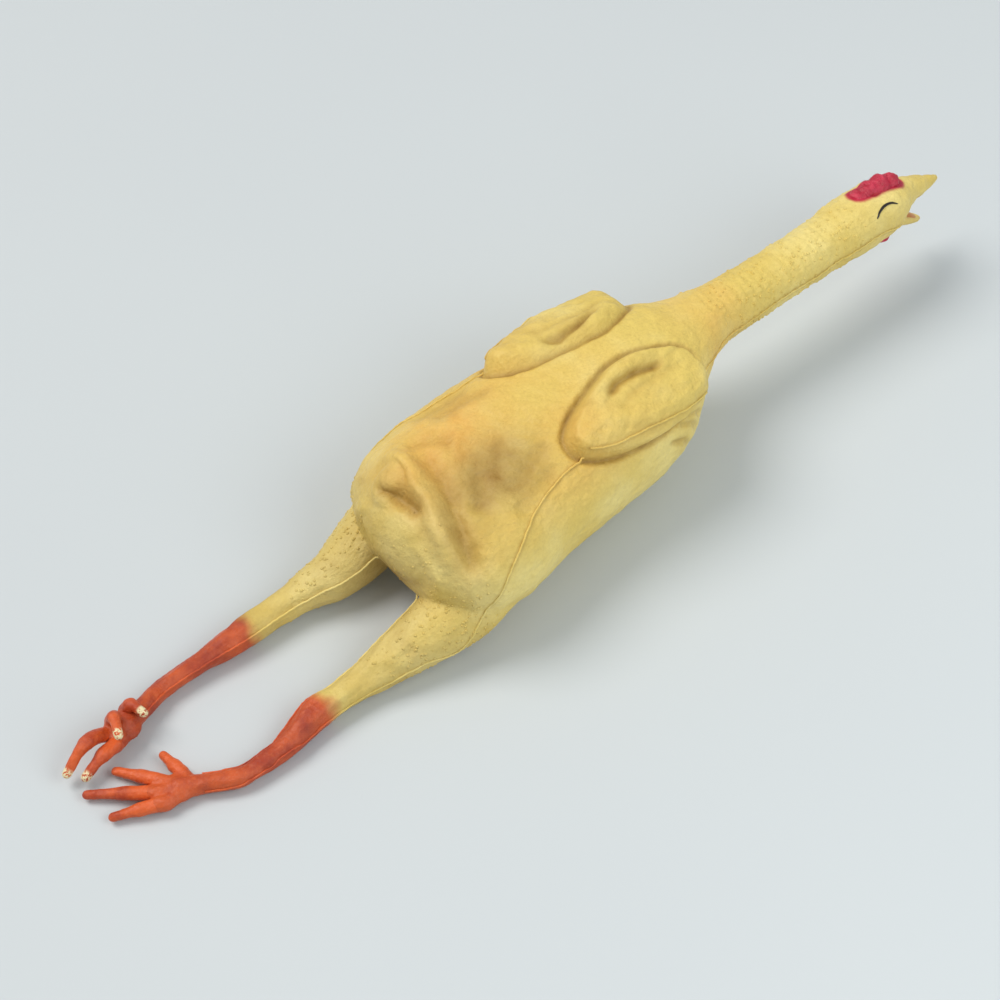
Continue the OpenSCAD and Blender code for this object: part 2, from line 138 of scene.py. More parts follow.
def loft(rings, sides=40):
    # rings: (middle, along, half width, half height, [squareness])
    points, faces = [], []
    for ring in rings:
        middle, along, wide, high = ring[:4]
        boxy = ring[4] if len(ring) > 4 else 2.0
        along = unit(along)
        side = unit(np.cross([0, 0, 1], along)) if abs(along[2]) < 0.99 else np.array([0, 1.0, 0])
        up = np.cross(along, side)
        for k in range(sides):
            t = 2 * math.pi * k / sides
            c, s = math.cos(t), math.sin(t)
            c = math.copysign(abs(c) ** (2 / boxy), c)
            s = math.copysign(abs(s) ** (2 / boxy), s)
            points.append(np.array(middle) + side * wide * c + up * high * s)
    n = len(rings)
    for i in range(n - 1):
        for k in range(sides):
            a, b = i * sides + k, i * sides + (k + 1) % sides
            faces.append((a, b, b + sides, a + sides))
    faces.append(tuple(range(sides - 1, -1, -1)))
    faces.append(tuple((n - 1) * sides + k for k in range(sides)))
    return np.array(points), faces


def blob(middle, radii, turn=(0, 0, 0), sides=28, rows=16):
    r = np.array(Euler([math.radians(t) for t in turn]).to_matrix())
    points, faces = [], []
    for i in range(rows + 1):
        a = math.pi * min(max(i / rows, 0.004), 0.996)
        for k in range(sides):
            t = 2 * math.pi * k / sides
            p = np.array([math.cos(a), math.sin(a) * math.cos(t), math.sin(a) * math.sin(t)])
            points.append(r @ (p * np.array(radii)) + np.array(middle))
    for i in range(rows):
        for k in range(sides):
            a, b = i * sides + k, i * sides + (k + 1) % sides
            faces.append((a, a + sides, b + sides, b))
    faces.append(tuple(range(sides)))
    faces.append(tuple(rows * sides + k for k in range(sides - 1, -1, -1)))
    return np.array(points), faces


def between(path, i, s):
    # the point s of the way past path[i], on a smooth curve through every point
    p0, p3 = path[max(i - 1, 0)], path[min(i + 2, len(path) - 1)]
    h = 0.5 * (-s + 2 * s * s - s ** 3) * p0 + 0.5 * (2 - 5 * s * s + 3 * s ** 3) * path[i]
    return h + 0.5 * (s + 4 * s * s - 3 * s ** 3) * path[i + 1] + 0.5 * (-s * s + s ** 3) * p3


def tubeAlong(path, radii, sides=24, flat=1.0):
    # path of points with round ends; flat squeezes the height
    path = [np.array(p, float) for p in path]
    dense, rad = [], []
    for i in range(len(path) - 1):
        for s in np.linspace(0, 1, 7)[: 6 if i < len(path) - 2 else 7]:
            dense.append(between(path, i, s))
            rad.append(radii[i] * (1 - s) + radii[i + 1] * s)
    rings = []
    for end, beyond, r, turns in ((0, 1, rad[0], (80, 60, 40, 20)), (-1, -2, rad[-1], (20, 40, 60, 80))):
        out = unit(dense[end] - dense[beyond])
        if end == -1:
            for i, p in enumerate(dense):
                along = dense[min(i + 1, len(dense) - 1)] - dense[max(i - 1, 0)]
                rings.append((p, along, rad[i], rad[i] * flat))
        for turn in turns:
            c, q = r * math.cos(math.radians(turn)), math.sin(math.radians(turn))
            rings.append((dense[end] + out * r * q, out if end else -out, c, c * flat))
    return loft(rings, sides)


def meshFrom(parts, name):
    points, faces, base = [], [], 0
    for p, f in parts:
        points.append(p)
        faces += [tuple(i + base for i in face) for face in f]
        base += len(p)
    mesh = bpy.data.meshes.new(name)
    mesh.from_pydata((np.concatenate(points) * mm).tolist(), [], faces)
    mesh.update()
    bm = bmesh.new()
    bm.from_mesh(mesh)
    bmesh.ops.recalc_face_normals(bm, faces=bm.faces)
    bm.to_mesh(mesh)
    bm.free()
    return link(bpy.data.objects.new(name, mesh))


def plainMesh(obj):
    # the evaluated shape as a mesh of its own
    graph = bpy.context.evaluated_depsgraph_get()
    mesh = bpy.data.meshes.new_from_object(obj.evaluated_get(graph))
    obj.modifiers.clear()
    return mesh


def remesh(obj, grain, smoothing):
    m = obj.modifiers.new("fuse", "REMESH")
    m.mode = "VOXEL"
    m.voxel_size = grain * mm
    old, obj.data = obj.data, plainMesh(obj)
    bpy.data.meshes.remove(old)
    relax(obj, smoothing)


def readAll(data, key, width=3, kind=np.float32):
    out = np.empty(len(data) * width, kind)
    data.foreach_get(key, out)
    return out.reshape(-1, width)


def pointsOf(mesh):
    return readAll(mesh.vertices, "co").astype(float) / mm


def putPoints(mesh, p):
    mesh.vertices.foreach_set("co", (p * mm).astype(np.float32).ravel())
    mesh.update()


def normalsOf(mesh):
    return readAll(mesh.vertex_normals, "vector").astype(float)


def edgesOf(mesh):
    return readAll(mesh.edges, "vertices", 2, np.int32)


def averaged(values, edges, count):
    total = np.zeros((count,) + values.shape[1:])
    np.add.at(total, edges[:, 0], values[edges[:, 1]])
    np.add.at(total, edges[:, 1], values[edges[:, 0]])
    n = np.bincount(edges.ravel(), minlength=count).reshape((-1,) + (1,) * (values.ndim - 1))
    return total / np.maximum(n, 1)


def relax(obj, rounds):
    # smooths without shrinking
    p, edges = pointsOf(obj.data), edgesOf(obj.data)
    for _ in range(rounds):
        for step in (0.55, -0.57):
            p = p + step * (averaged(p, edges, len(p)) - p)
    putPoints(obj.data, p)


def smoothstep(t):
    t = np.clip(t, 0, 1)
    return t * t * (3 - 2 * t)


def gridNoise(p, size, seed):
    # smooth value noise, about -1 to 1
    q = p / size
    i = np.floor(q).astype(np.int64)
    f = q - i
    f = f * f * (3 - 2 * f)
    out = np.zeros(len(p))
    for corner in ((dx, dy, dz) for dx in (0, 1) for dy in (0, 1) for dz in (0, 1)):
        at = i + np.array(corner)
        h = at[:, 0] * 374761393 + at[:, 1] * 668265263 + at[:, 2] * 2147483647 + seed * 144665
        h = (h ^ (h >> 13)) * 1274126177 & 0x7FFFFFFF
        out += np.where(corner, f, 1 - f).prod(1) * ((h % 65536) / 32768.0 - 1)
    return out


def swellAt(p, middle, reach):
    # 1 at a spot, fading out over the reach along x, y and z
    return np.exp(-np.linalg.norm((p - np.array(middle)) / np.array(reach), axis=1) ** 2)


def level(q):
    return np.c_[q, np.zeros(len(q))]


def setMark(mesh, name, values):
    mark = mesh.attributes.get(name) or mesh.attributes.new(name, "FLOAT", "POINT")
    mark.data.foreach_set("value", np.clip(values, 0, 1).astype(np.float32))


def farFrom(p, path):
    # distance to a polyline, share of its length there
    best = np.full(len(p), 1e9)
    share = np.zeros(len(p))
    path = [np.array(q, float) for q in path]
    lengths = [np.linalg.norm(path[i + 1] - path[i]) for i in range(len(path) - 1)]
    total, done = sum(lengths), 0
    for i, long in enumerate(lengths):
        d = path[i + 1] - path[i]
        t = np.clip(((p - path[i]) @ d) / max(d @ d, 1e-9), 0, 1)
        dist = np.linalg.norm(p - path[i] - t[:, None] * d, axis=1)
        near = dist < best
        best = np.where(near, dist, best)
        share = np.where(near, (done + t * long) / total, share)
        done += long
    return best, share


# the torso's rule: oval sections along the bird
torsoShape = {
    "stations": (
        # x, slack to the side, half width, middle height, half height
        (-84, -6.0, 27, 40, 15), (-80, -5.8, 32, 38.5, 20.5), (-75, -5.2, 39.5, 36.8, 27.5),
        (-64, -4.2, 45.5, 35.5, 32.8), (-46, -2.5, 47.8, 34.6, 35), (-22, 0.6, 46, 34.4, 34.4),
        (0, 1.6, 44.8, 34.4, 34.6), (20, 2.3, 43.6, 34.4, 34.6), (40, 2.6, 42.2, 34.5, 33.9),
        (55, 2.6, 39, 35.7, 32), (65, 2.5, 35, 37.4, 29), (74, 2.3, 28.5, 40.2, 24.6),
        (83, 2.1, 21.5, 43, 19), (92, 2.0, 16.6, 45.2, 15.8), (102, 2.0, 14.5, 46, 14.4),
    ),
    "step": 3, "boxy": 2.12, "voxel": 0.86, "relax": 14,
}


def torsoAt(x):
    t = np.array(torsoShape["stations"])
    return [np.interp(x, t[:, 0], t[:, k]) for k in (1, 2, 3, 4)]


def onTorso(x, turn, side=-1, out=0.0):
    y, wide, z, high = torsoAt(x)
    a = math.radians(turn)
    return np.array([x, y + side * math.cos(a) * (wide + out), z + math.sin(a) * (high + out)])


neck = [jointAt(n) for n in ("neck_root_nod", "neck_sway", "neck_nod", "head_turn")]
jaw = jointAt("beak_open")
legJoints = ("hip_lift", "knee_spread", "hock_bend", "ankle_bend")
legs = {s: [jointAt(s + "_" + n) for n in legJoints] for s in ("right", "left")}
toeNames = ("back", "inner", "middle", "outer")

legShape = {
    "bow": {"right": 3.4, "left": -0.6},
    # half thickness inside the body, at hip, mid thigh, knee, mid shin, hock, three down the shank, ankle, sole
    "radii": (19, 15.2, 11.6, 9.4, 7.0, 6.3, 6.9, 5.9, 4.5, 3.9, 4.0, 4.4),
    "heel": (4.0, 4.4, 5.0, 5.2), "thick": {"right": 0.95, "left": 0.84},
    "footHeading": {"right": 149, "left": 196}, "footClimb": {"right": -1, "left": 5},
}

# toes: curve points in the foot's own frame come from joint, splay, lift and curl
toeShape = {
    "right": {
        "back": (-58, 0, 4, 14), "inner": (-27, 0, 5, 20), "middle": (-10, 0, 3, 28), "outer": (6, 0, 5, 21),
    },
    "left": {
        "back": (86, 72, 78, 14), "inner": (48, 64, 66, 20), "middle": (-4, 34, 76, 28), "outer": (-5, 8, 34, 21),
    },
    "root": 3.2, "tip": 1.9, "steps": 9, "sides": 26, "flat": 0.94,
    # joint swelling and the dip after it: height, share of the length, spread
    "swell": ((0.45, 0.42, 0.16), (-0.28, 0.62, 0.1)), "swellShare": {"right": 0.8, "left": 1.1},
    # wrinkles: seed, grain, depth
    "wrinkles": ((61, 3.4, 0.16), (62, 1.5, 0.07)),
    "plump": {"leftmiddle": 1.05, "leftouter": 1.05},
}


def footAxes(side):
    a, c = legShape["footHeading"][side], legShape["footClimb"][side]
    x = heading(a, c)
    y = unit(np.cross([0, 0, 1], x))
    return x, y, np.cross(x, y)


def toePath(side, name):
    splay, lift, curl, long = toeShape[side][name]
    x, y, z = footAxes(side)
    root = jointAt(f"{side}_{name}_toe_curl")

    def world(v):
        return v[0] * x + v[1] * y + v[2] * z
    s, l = math.radians(splay), math.radians(lift)
    along = world((math.cos(l) * math.cos(s), math.cos(l) * math.sin(s), math.sin(l)))
    over = world((-math.sin(l) * math.cos(s), -math.sin(l) * math.sin(s), math.cos(l)))
    path = [root - along * 4]
    p, steps = root.copy(), toeShape["steps"]
    path.append(p.copy())
    for k in range(steps):
        bend = math.radians(curl) * smoothstep(np.array((k + 0.5) / steps * 1.5 - 0.15))
        p = p + (long - toeShape["tip"]) / steps * (math.cos(bend) * along - math.sin(bend) * over)
        path.append(p.copy())
    return path, along


def bodyParts():
    stations = torsoShape["stations"]
    rings = []
    for x in np.arange(stations[0][0], stations[-1][0] + 0.1, torsoShape["step"]):
        y, w, z, h = torsoAt(x)
        rings.append(((x, y, z), (1, 0, 0), w, h, torsoShape["boxy"]))
    parts = [loft(rings, 72)]
    # the rump swells over the crotch; the parson's nose lies left of the middle
    parts.append(blob((-70, -4, 42), (18, 31, 23)))
    parts.append(blob((-71, 9.5, 57.5), (12, 9.5, 9.5), (0, 26, 12)))
    # neck with its slight kinks
    line = [(92, 2.0, 45.6)] + [tuple(p) for p in neck] + [(186, neck[3][1], 46)]
    parts.append(tubeAlong(line, (15.4, 14.2, 12.6, 12.3, 12.9, 13.2), 40))
    for side, (hip, knee, hock, ankle) in legs.items():
        s = -1 if side == "right" else 1
        foot = footAxes(side)[0]
        bow = np.array([0, -legShape["bow"][side], -0.5])
        bones = [
            hip + np.array([44, -s, 14]), hip + np.array([24, s * 2.2, 6]), hip, (hip + knee) / 2, knee,
            (knee + hock) / 2, hock, hock * 0.78 + ankle * 0.22 + bow * 0.5, hock * 0.5 + ankle * 0.5 + bow,
            ankle * 0.82 + hock * 0.18 + bow * 0.7, ankle + bow * 0.1, ankle + foot * 10,
        ]
        parts.append(tubeAlong(bones, legShape["radii"], 36))
    return parts


def footParts(side):
    ankle = legs[side][3]
    foot, across, up = footAxes(side)
    thick = legShape["thick"][side]
    spin = (0, -legShape["footClimb"][side], legShape["footHeading"][side])
    sole = [ankle - foot, ankle + foot * 9, ankle + foot * 17, ankle + foot * 22]
    parts = [tubeAlong(sole, legShape["heel"], 24)]
    parts.append(blob(ankle + foot * 22.5, (8.2, 7.3, 3.9 * thick), spin))
    parts.append(blob(ankle + foot * 20.5 + up * 1.2 * thick + across, (5.6, 4.6, 3.6 * thick), spin))
    for name in toeNames:  # a knuckle behind every toe
        path, along = toePath(side, name)
        root = [ankle + foot * 19, path[1] - along * 3.2, path[1] + along * 0.4]
        parts.append(tubeAlong(root, (3.4, 3.4, 3.3), 18))
    return parts


headShape = {
    # along from the neck joint, height of the middle, half width, half height
    "rings": (
        (4, 0, 13.2, 13.2), (12, 0.2, 13.6, 13.2), (20, 0.6, 13.8, 13.0), (28, 0.8, 13.8, 12.4),
        (34, 1.0, 13.0, 11.8), (40, 0.8, 11.0, 10.2), (45, 0.4, 8.4, 8.2), (50, -0.2, 6.5, 6.3),
        (56, -1.9, 4.9, 4.5), (62, -3.7, 3.4, 3.0),
        (67, -5.0, 2.1, 1.9), (70.5, -5.7, 0.9, 0.9),
    ),
}


def headParts():
    at = neck[3]
    rings = [(at + np.array([a, 0, z]), (1, 0, 0), w, h, 2.1) for a, z, w, h in headShape["rings"]]
    parts = [loft(rings, 44)]
    for s in (-1, 1):  # cheek and brow
        parts.append(blob(at + np.array([31, s * 7.0, 2.5]), (9.5, 6.2, 7.6), (0, 10, s * -12)))
    parts.append(blob(at + np.array([30, 0, 5.5]), (12, 8.5, 8)))
    return parts


def buildSkin():
    skin = meshFrom(bodyParts() + footParts("right") + footParts("left") + headParts(), "skin")
    remesh(skin, torsoShape["voxel"], torsoShape["relax"])
    return skin


skin = buildSkin()
print("skin:", len(skin.data.vertices), "points")

# sculpting: everything below is a height over the fused skin
wingShape = {
    # outline over the flank as (x, turn), turn 0 at the side and 90 on the back
    "right": (
        (72.6, 46), (69, 64), (53, 77), (38, 82), (20.5, 75), (3, 68), (-5.2, 60), (-5.2, 51),
        (-2.5, 45), (5, 38), (17, 30.5), (30, 26), (40, 24.5), (54.5, 22), (66.6, 21.5), (71.5, 30),
    ),
    "left": (
        (72, 46), (68, 64), (53, 75), (42, 75), (26, 72), (9, 68), (-1.5, 58), (-3.5, 48), (0, 41),
        (8, 34), (20, 28), (32, 24), (44, 23), (56, 22), (66.6, 22), (71, 30),
    ),
    "fold": ((56, 60), (49, 62.5), (40, 66), (30, 66.5), (21, 63)),
    "crease": ((63, 52), (54, 56), (42, 58), (30, 57), (20, 52)),
    "arm": ((2, 55), (20, 48), (42, 41), (62, 38)),
    "upperArm": ((8, 65), (26, 72), (46, 73), (62, 66)),
    "rise": 4.4, "edge": {"right": 4.2, "left": 7.5}, "arcPerTurn": 0.74,
}
rumpShape = {
    "ridge": (
        (-63, 22, 61), (-63.6, 10.3, 66.2), (-65.3, 3.9, 66.9), (-69.2, -2, 66.2), (-70.5, -13.4, 65.3),
        (-74.3, -24, 61.4), (-77.4, -31.8, 54.3), (-78.5, -37, 46),
    ),
    "valley": ((-56, 6, 64), (-58, -4, 64), (-61, -14, 62), (-65, -25, 56), (-68, -33, 48)),
    "hollow": ((-77, 10, 61), (-75.5, 2, 63), (-74.5, -7, 64.5)),
    "crotch": ((-84, -5, 20), (-80, -5, 12)),
}
foldShape = {
    "breast": (
        ((47, 22), (58, 8), (64, -14)), ((53, 20), (63, 10), (68, -8)), ((40, 15), (52, 0), (57, -20)),
    ),
    "back": (
        ((-8, 66), (-24, 60), (-40, 56)), ((-12, 52), (-28, 49), (-44, 44)),
        ((-58, 60), (-48, 68), (-40, 80)),
    ),
    # dents: middle, reach, depth, how strong the painted shade and grime in it, how tight it sits
    "dents": (
        ((-38, -15, 66), (24, 17, 20), 5.6, 1.35, 1.15), ((-60, -29, 56), (12, 12, 14), 2.6, 0.4, 1.0),
        ((26, 3, 69), (34, 9, 12), 1.6, 0.0, 1.0),
    ),
}


def signedInside(q, outline):
    # distance to a closed outline, positive inside
    ring = list(outline) + [outline[0]]
    best, inside = np.full(len(q), 1e9), np.zeros(len(q), bool)
    for (ax, ay), (bx, by) in zip(ring[:-1], ring[1:]):
        d = np.array([bx - ax, by - ay], float)
        t = np.clip(((q[:, 0] - ax) * d[0] + (q[:, 1] - ay) * d[1]) / (d @ d), 0, 1)
        best = np.minimum(best, np.hypot(q[:, 0] - ax - t * d[0], q[:, 1] - ay - t * d[1]))
        crosses = (ay > q[:, 1]) != (by > q[:, 1])
        edge = ax + (q[:, 1] - ay) / (by - ay if by != ay else 1e-9) * d[0]
        inside ^= crosses & (q[:, 0] < edge)
    return np.where(inside, best, -best)


def rounded(outline, times=2):
    pts = [np.array(p, float) for p in outline]
    for _ in range(times):
        pts = [q for i in range(len(pts)) for q in (pts[i] * 0.75 + pts[(i + 1) % len(pts)] * 0.25,
                                                    pts[i] * 0.25 + pts[(i + 1) % len(pts)] * 0.75)]
    return [tuple(p) for p in pts]


def flankPlane(p, side):
    # (x, arc) of every point on one flank, in mm
    t = np.array(torsoShape["stations"])
    y, w, z, h = (np.interp(p[:, 0], t[:, 0], t[:, k]) for k in (1, 2, 3, 4))
    turn = np.degrees(np.arctan2((p[:, 2] - z) / h, side * (p[:, 1] - y) / w))
    return np.stack([p[:, 0], turn * wingShape["arcPerTurn"]], 1)


def onPlane(path):
    return [(x, t * wingShape["arcPerTurn"]) for x, t in path]


def groove(q, path, depth, width):
    d, share = farFrom(level(q), level(onPlane(path)))
    return -depth * np.exp(-(d / width) ** 2) * smoothstep(share * 5) * smoothstep((1 - share) * 5 + 0.15)


def layOn(p, path):
    # the path with every point moved to the nearest point of the skin
    path = np.array(path, float)
    dense = [a + (b - a) * t for a, b in zip(path[:-1], path[1:]) for t in (0, 0.34, 0.67)] + [path[-1]]
    return [p[((p - q) ** 2).sum(1).argmin()] for q in dense]


def sculptWing(q, side, seed):
    # height of one wing over the flank, and its painted shade: darker at the undercut rim, in the folds and between
    # the bumps
    d = signedInside(q, rounded(onPlane(wingShape[side])))
    arm, upper = (farFrom(level(q), level(onPlane(wingShape[k])))[0] for k in ("arm", "upperArm"))
    pad = wingShape["rise"] * smoothstep((d + 0.4) / wingShape["edge"][side])
    pad += smoothstep(d / 4) * (3.4 * np.exp(-(arm / 8.5) ** 2) + 1.1 * np.exp(-(upper / 5) ** 2))
    rim = np.exp(-((d + 1.0) / 1.5) ** 2)
    rough = gridNoise(level(q * np.array([0.5, 1.0])), 2.4, 15 + seed)
    pad += smoothstep(d / 3) * (0.4 * rough + 0.22 * gridNoise(level(q), 5.5, 18 + seed))
    fold = groove(q, wingShape["fold"], 3.0, 1.9) + groove(q, wingShape["crease"], 0.8, 1.8)
    # painted shade: dark along the undercut rim, in the folds and in the hollows between the bumps
    grimeAndShade = 0.95 * rim - fold * 0.34 + 0.12 * smoothstep(-rough * 1.6) * smoothstep(d / 3)
    return pad - 1.5 * rim + fold * smoothstep(d / 2), grimeAndShade


def sculptSkin(obj):
    mesh = obj.data
    p, n = pointsOf(mesh), normalsOf(mesh)
    x, y, z = p.T
    edges = edgesOf(mesh)
    for _ in range(6):
        n = averaged(n, edges, len(n)) * 0.7 + n * 0.3
    n /= np.linalg.norm(n, axis=1)[:, None]
    h, paintedShadeAndGrime = np.zeros(len(p)), np.zeros(len(p))
    for side, sign in (("right", -1), ("left", 1)):
        q = flankPlane(p, sign)
        near = (x > -20) & (x < 84) & (sign * (y - 2) > -4) & (q[:, 1] > 0)
        pad, grimeAndShade = sculptWing(q[near], side, sign)
        h[near] += pad
        paintedShadeAndGrime[near] += grimeAndShade
        breast = (sign * (y - 2) > 4) & (x > 30) & (x < 90)
        back = (sign * y > -3) & (x < 10) & (z > 30)
        # the grooves on the breast and the back are darkened with painted shade
        for where, width, grimeAndShade, on in (("breast", 1.5, 0.3, breast), ("back", 4.2, 0.22, back)):
            for path in foldShape[where]:
                g = groove(q, path, 1.5, width) * on
                h += g
                paintedShadeAndGrime -= g * grimeAndShade
    ridge, along = farFrom(p, layOn(p, rumpShape["ridge"]))
    h += 5.0 * np.exp(-(ridge / 4.8) ** 2) * smoothstep(along * 4 + 0.3) * smoothstep((1 - along) * 3)
    # depth and width of each furrow, then how strong and how wide the painted shade in it
    for name, deep, wide, grimeAndShade, spread in (("valley", 3.2, 4.4, 0.42, 4.0), ("hollow", 4.6, 4.2, 0.7, 3.6)):
        away = farFrom(p, layOn(p, rumpShape[name]))[0]
        h -= deep * np.exp(-(away / wide) ** 2)
        paintedShadeAndGrime += grimeAndShade * np.exp(-(away / spread) ** 2)
    # painted shade in the crotch between the legs
    paintedShadeAndGrime += 0.9 * np.exp(-(farFrom(p, rumpShape["crotch"])[0] / 16) ** 2)
    # each dent is darkened with painted shade
    for middle, reach, deep, grimeAndShade, tight in foldShape["dents"]:
        dent = swellAt(p, middle, reach)
        h -= deep * dent
        paintedShadeAndGrime += grimeAndShade * dent ** (tight * tight)
    # tendons of the legs; the legs and the rump are made darker in the painted shade and grime mark
    onLeg = smoothstep((-92 - x) / 16)
    tendons = gridNoise(p * np.array([0.22, 1, 1]), 2.6, 19) * smoothstep((x + 190) / 10)
    h += 0.55 * onLeg * tendons
    paintedShadeAndGrime += onLeg * (0.36 + 0.24 * gridNoise(p, 9, 20))
    paintedShadeAndGrime += 0.26 * smoothstep((-62 - x) / 10) * (1 - onLeg)
    # waves of the slack latex, feather strokes and follicle rows
    h += 0.6 * gridNoise(p, 17, 3) + 0.32 * gridNoise(p, 6.5, 5)
    slanted = p * np.array([0.42, 1.0, 1.0]) + np.array([0, 0.9, 0]) * p[:, :1]
    h += 0.6 * gridNoise(slanted, 2.6, 8) * swellAt(p, (-12, -8, 68), (26, 22, 16))
    onNeck = smoothstep((x - 88) / 14) * smoothstep((196 - x) / 16) * smoothstep((z - 36) / 12)
    rows = np.sin(x * 2 * math.pi / 4.1 + 1.6 * gridNoise(p, 7, 11))
    h += 0.32 * onNeck * rows * (0.45 + 0.55 * gridNoise(p, 3.1, 12))
    body = smoothstep((x + 100) / 30) * smoothstep((z - 12) / 20)
    h += 0.2 * gridNoise(p, 2.3, 14) * (0.4 + body)
    # the belly lies flat on the floor
    p = p + n * h[:, None]
    low = smoothstep((14 - p[:, 2]) / 12) * (p[:, 0] > -84) * (p[:, 0] < 84)
    p[:, 2] = np.maximum(p[:, 2], 0.05)
    putPoints(mesh, p)
    # painted shade low down, where the belly nears the floor, is added to the mark
    setMark(mesh, "paintedShadeAndGrime", paintedShadeAndGrime + 0.25 * smoothstep((9 - p[:, 2]) / 9) * low)


sculptSkin(skin)
print("skin is sculpted")


# materials
def nodeTree(name):
    m = bpy.data.materials.new(name)
    m.use_nodes = True
    t = m.node_tree
    t.nodes.clear()
    out = t.nodes.new("ShaderNodeOutputMaterial")
    shader = t.nodes.new("ShaderNodeBsdfPrincipled")
    t.links.new(shader.outputs[0], out.inputs[0])
    return m, t, shader, t.nodes.new("ShaderNodeTexCoord").outputs["Object"]


def srgb(*color):
    shares = [c / 255 for c in color]
    return tuple(c / 12.92 if c <= 0.04045 else ((c + 0.055) / 1.055) ** 2.4 for c in shares) + (1,)


def feed(t, socket, value):
    # a socket takes the output of another node, or a plain value
    if hasattr(value, "is_output"):
        t.links.new(value, socket)
    else:
        socket.default_value = value


def coat(t, shader, color, rough, normal=None):
    feed(t, shader.inputs["Base Color"], color)
    feed(t, shader.inputs["Roughness"], rough)
    if normal is not None:
        feed(t, shader.inputs["Normal"], normal)


def noiseNode(t, coords, scale, detail=4, rough=0.55, stretch=None):
    if stretch:
        m = t.nodes.new("ShaderNodeMapping")
        m.inputs["Scale"].default_value = stretch
        t.links.new(coords, m.inputs[0])
        coords = m.outputs[0]
    n = t.nodes.new("ShaderNodeTexNoise")
    n.inputs["Scale"].default_value = scale
    n.inputs["Detail"].default_value = detail
    n.inputs["Roughness"].default_value = rough
    t.links.new(coords, n.inputs["Vector"])
    return n.outputs["Fac"]


def ramp(t, value, low, high, a=0.0, b=1.0):
    r = t.nodes.new("ShaderNodeMapRange")
    r.interpolation_type = "SMOOTHSTEP"
    for k, v in (("From Min", low), ("From Max", high), ("To Min", a), ("To Max", b)):
        r.inputs[k].default_value = v
    t.links.new(value, r.inputs["Value"])
    return r.outputs["Result"]


def mixColor(t, share, a, b):
    m = t.nodes.new("ShaderNodeMix")
    m.data_type = "RGBA"
    for k, v in ((0, share), (6, a), (7, b)):
        feed(t, m.inputs[k], v)
    return m.outputs[2]


def maths(t, what, a, b):
    m = t.nodes.new("ShaderNodeMath")
    m.operation = what
    feed(t, m.inputs[0], a)
    feed(t, m.inputs[1], b)
    return m.outputs[0]


def attribute(t, name):
    n = t.nodes.new("ShaderNodeAttribute")
    n.attribute_name = name
    return n.outputs["Fac"]


def bumpNode(t, height, distance, strength, after=None):
    b = t.nodes.new("ShaderNodeBump")
    b.inputs["Distance"].default_value = distance
    b.inputs["Strength"].default_value = strength
    t.links.new(height, b.inputs["Height"])
    if after is not None:
        t.links.new(after, b.inputs["Normal"])
    return b.outputs[0]


skinLook = {
    "latex": srgb(226, 198, 104), "cream": srgb(238, 217, 136), "warm": srgb(232, 176, 84),
    "olive": srgb(150, 112, 44), "orange": srgb(220, 96, 42), "deepOrange": srgb(170, 58, 27),
    "rubbedOrange": srgb(240, 140, 84), "shadedGrimyOrange": srgb(110, 34, 18), "crimson": srgb(186, 34, 62),
    "chip": srgb(236, 222, 176),
}


def latexMaterial():
    m, t, shader, at = nodeTree("latexSkin")
    broad, patch = noiseNode(t, at, 22, 3), noiseNode(t, at, 75, 5, 0.6)
    fine = noiseNode(t, at, 700, 3, 0.6)

    def times(a, b):
        return maths(t, "MULTIPLY", a, b)

    def frayed(name, much):
        # the sprayed edge, broken up by the patches
        return maths(t, "ADD", attribute(t, name), times(maths(t, "SUBTRACT", patch, 0.5), much))
    color = mixColor(t, ramp(t, broad, 0.38, 0.66), skinLook["latex"], skinLook["cream"])
    chips = times(attribute(t, "chip"), ramp(t, noiseNode(t, at, 900, 2), 0.42, 0.5))
    isOrange = ramp(t, frayed("orange", 0.5), 0.12, 0.88)
    paint = mixColor(t, ramp(t, patch, 0.35, 0.7), skinLook["orange"], skinLook["deepOrange"])
    paint = mixColor(t, ramp(t, fine, 0.5, 0.75, 0, 0.2), paint, skinLook["rubbedOrange"])
    # painted shade and grime: the orange paint goes darker where the mark is high
    paint = mixColor(t, times(attribute(t, "paintedShadeAndGrime"), 0.55), paint, skinLook["shadedGrimyOrange"])
    for share, over in (
        (times(attribute(t, "warm"), ramp(t, patch, 0.25, 0.75, 0.55, 1.0)), skinLook["warm"]),
        # painted shade and grime: olive where the mark is high
        (times(attribute(t, "paintedShadeAndGrime"), ramp(t, patch, 0.3, 0.8, 0.62, 1.0)), skinLook["olive"]),
        (ramp(t, patch, 0.55, 0.8, 0, 0.16), skinLook["olive"]),
        (ramp(t, fine, 0.35, 0.7, 0.0, 0.10), skinLook["olive"]), (isOrange, paint),
        (ramp(t, frayed("crimson", 0.6), 0.25, 0.85), skinLook["crimson"]), (chips, skinLook["chip"]),
    ):
        color = mixColor(t, share, color, over)
    shader.inputs["Specular IOR Level"].default_value = 0.42
    pores = t.nodes.new("ShaderNodeTexVoronoi")
    pores.inputs["Scale"].default_value = 620
    t.links.new(at, pores.inputs["Vector"])
    wrinkles = noiseNode(t, at, 260, 5, 0.65, (0.55, 1.3, 1.3))
    normal = bumpNode(t, noiseNode(t, at, 120, 5, 0.6), 0.0016, 0.6)
    normal = bumpNode(t, wrinkles, 0.0012, 0.7, normal)
    normal = bumpNode(t, pores.outputs["Distance"], 0.0003, 0.35, normal)
    rough = maths(t, "ADD", ramp(t, patch, 0.2, 0.8, 0.44, 0.6), times(isOrange, -0.1))
    coat(t, shader, color, rough, normal)
    return m


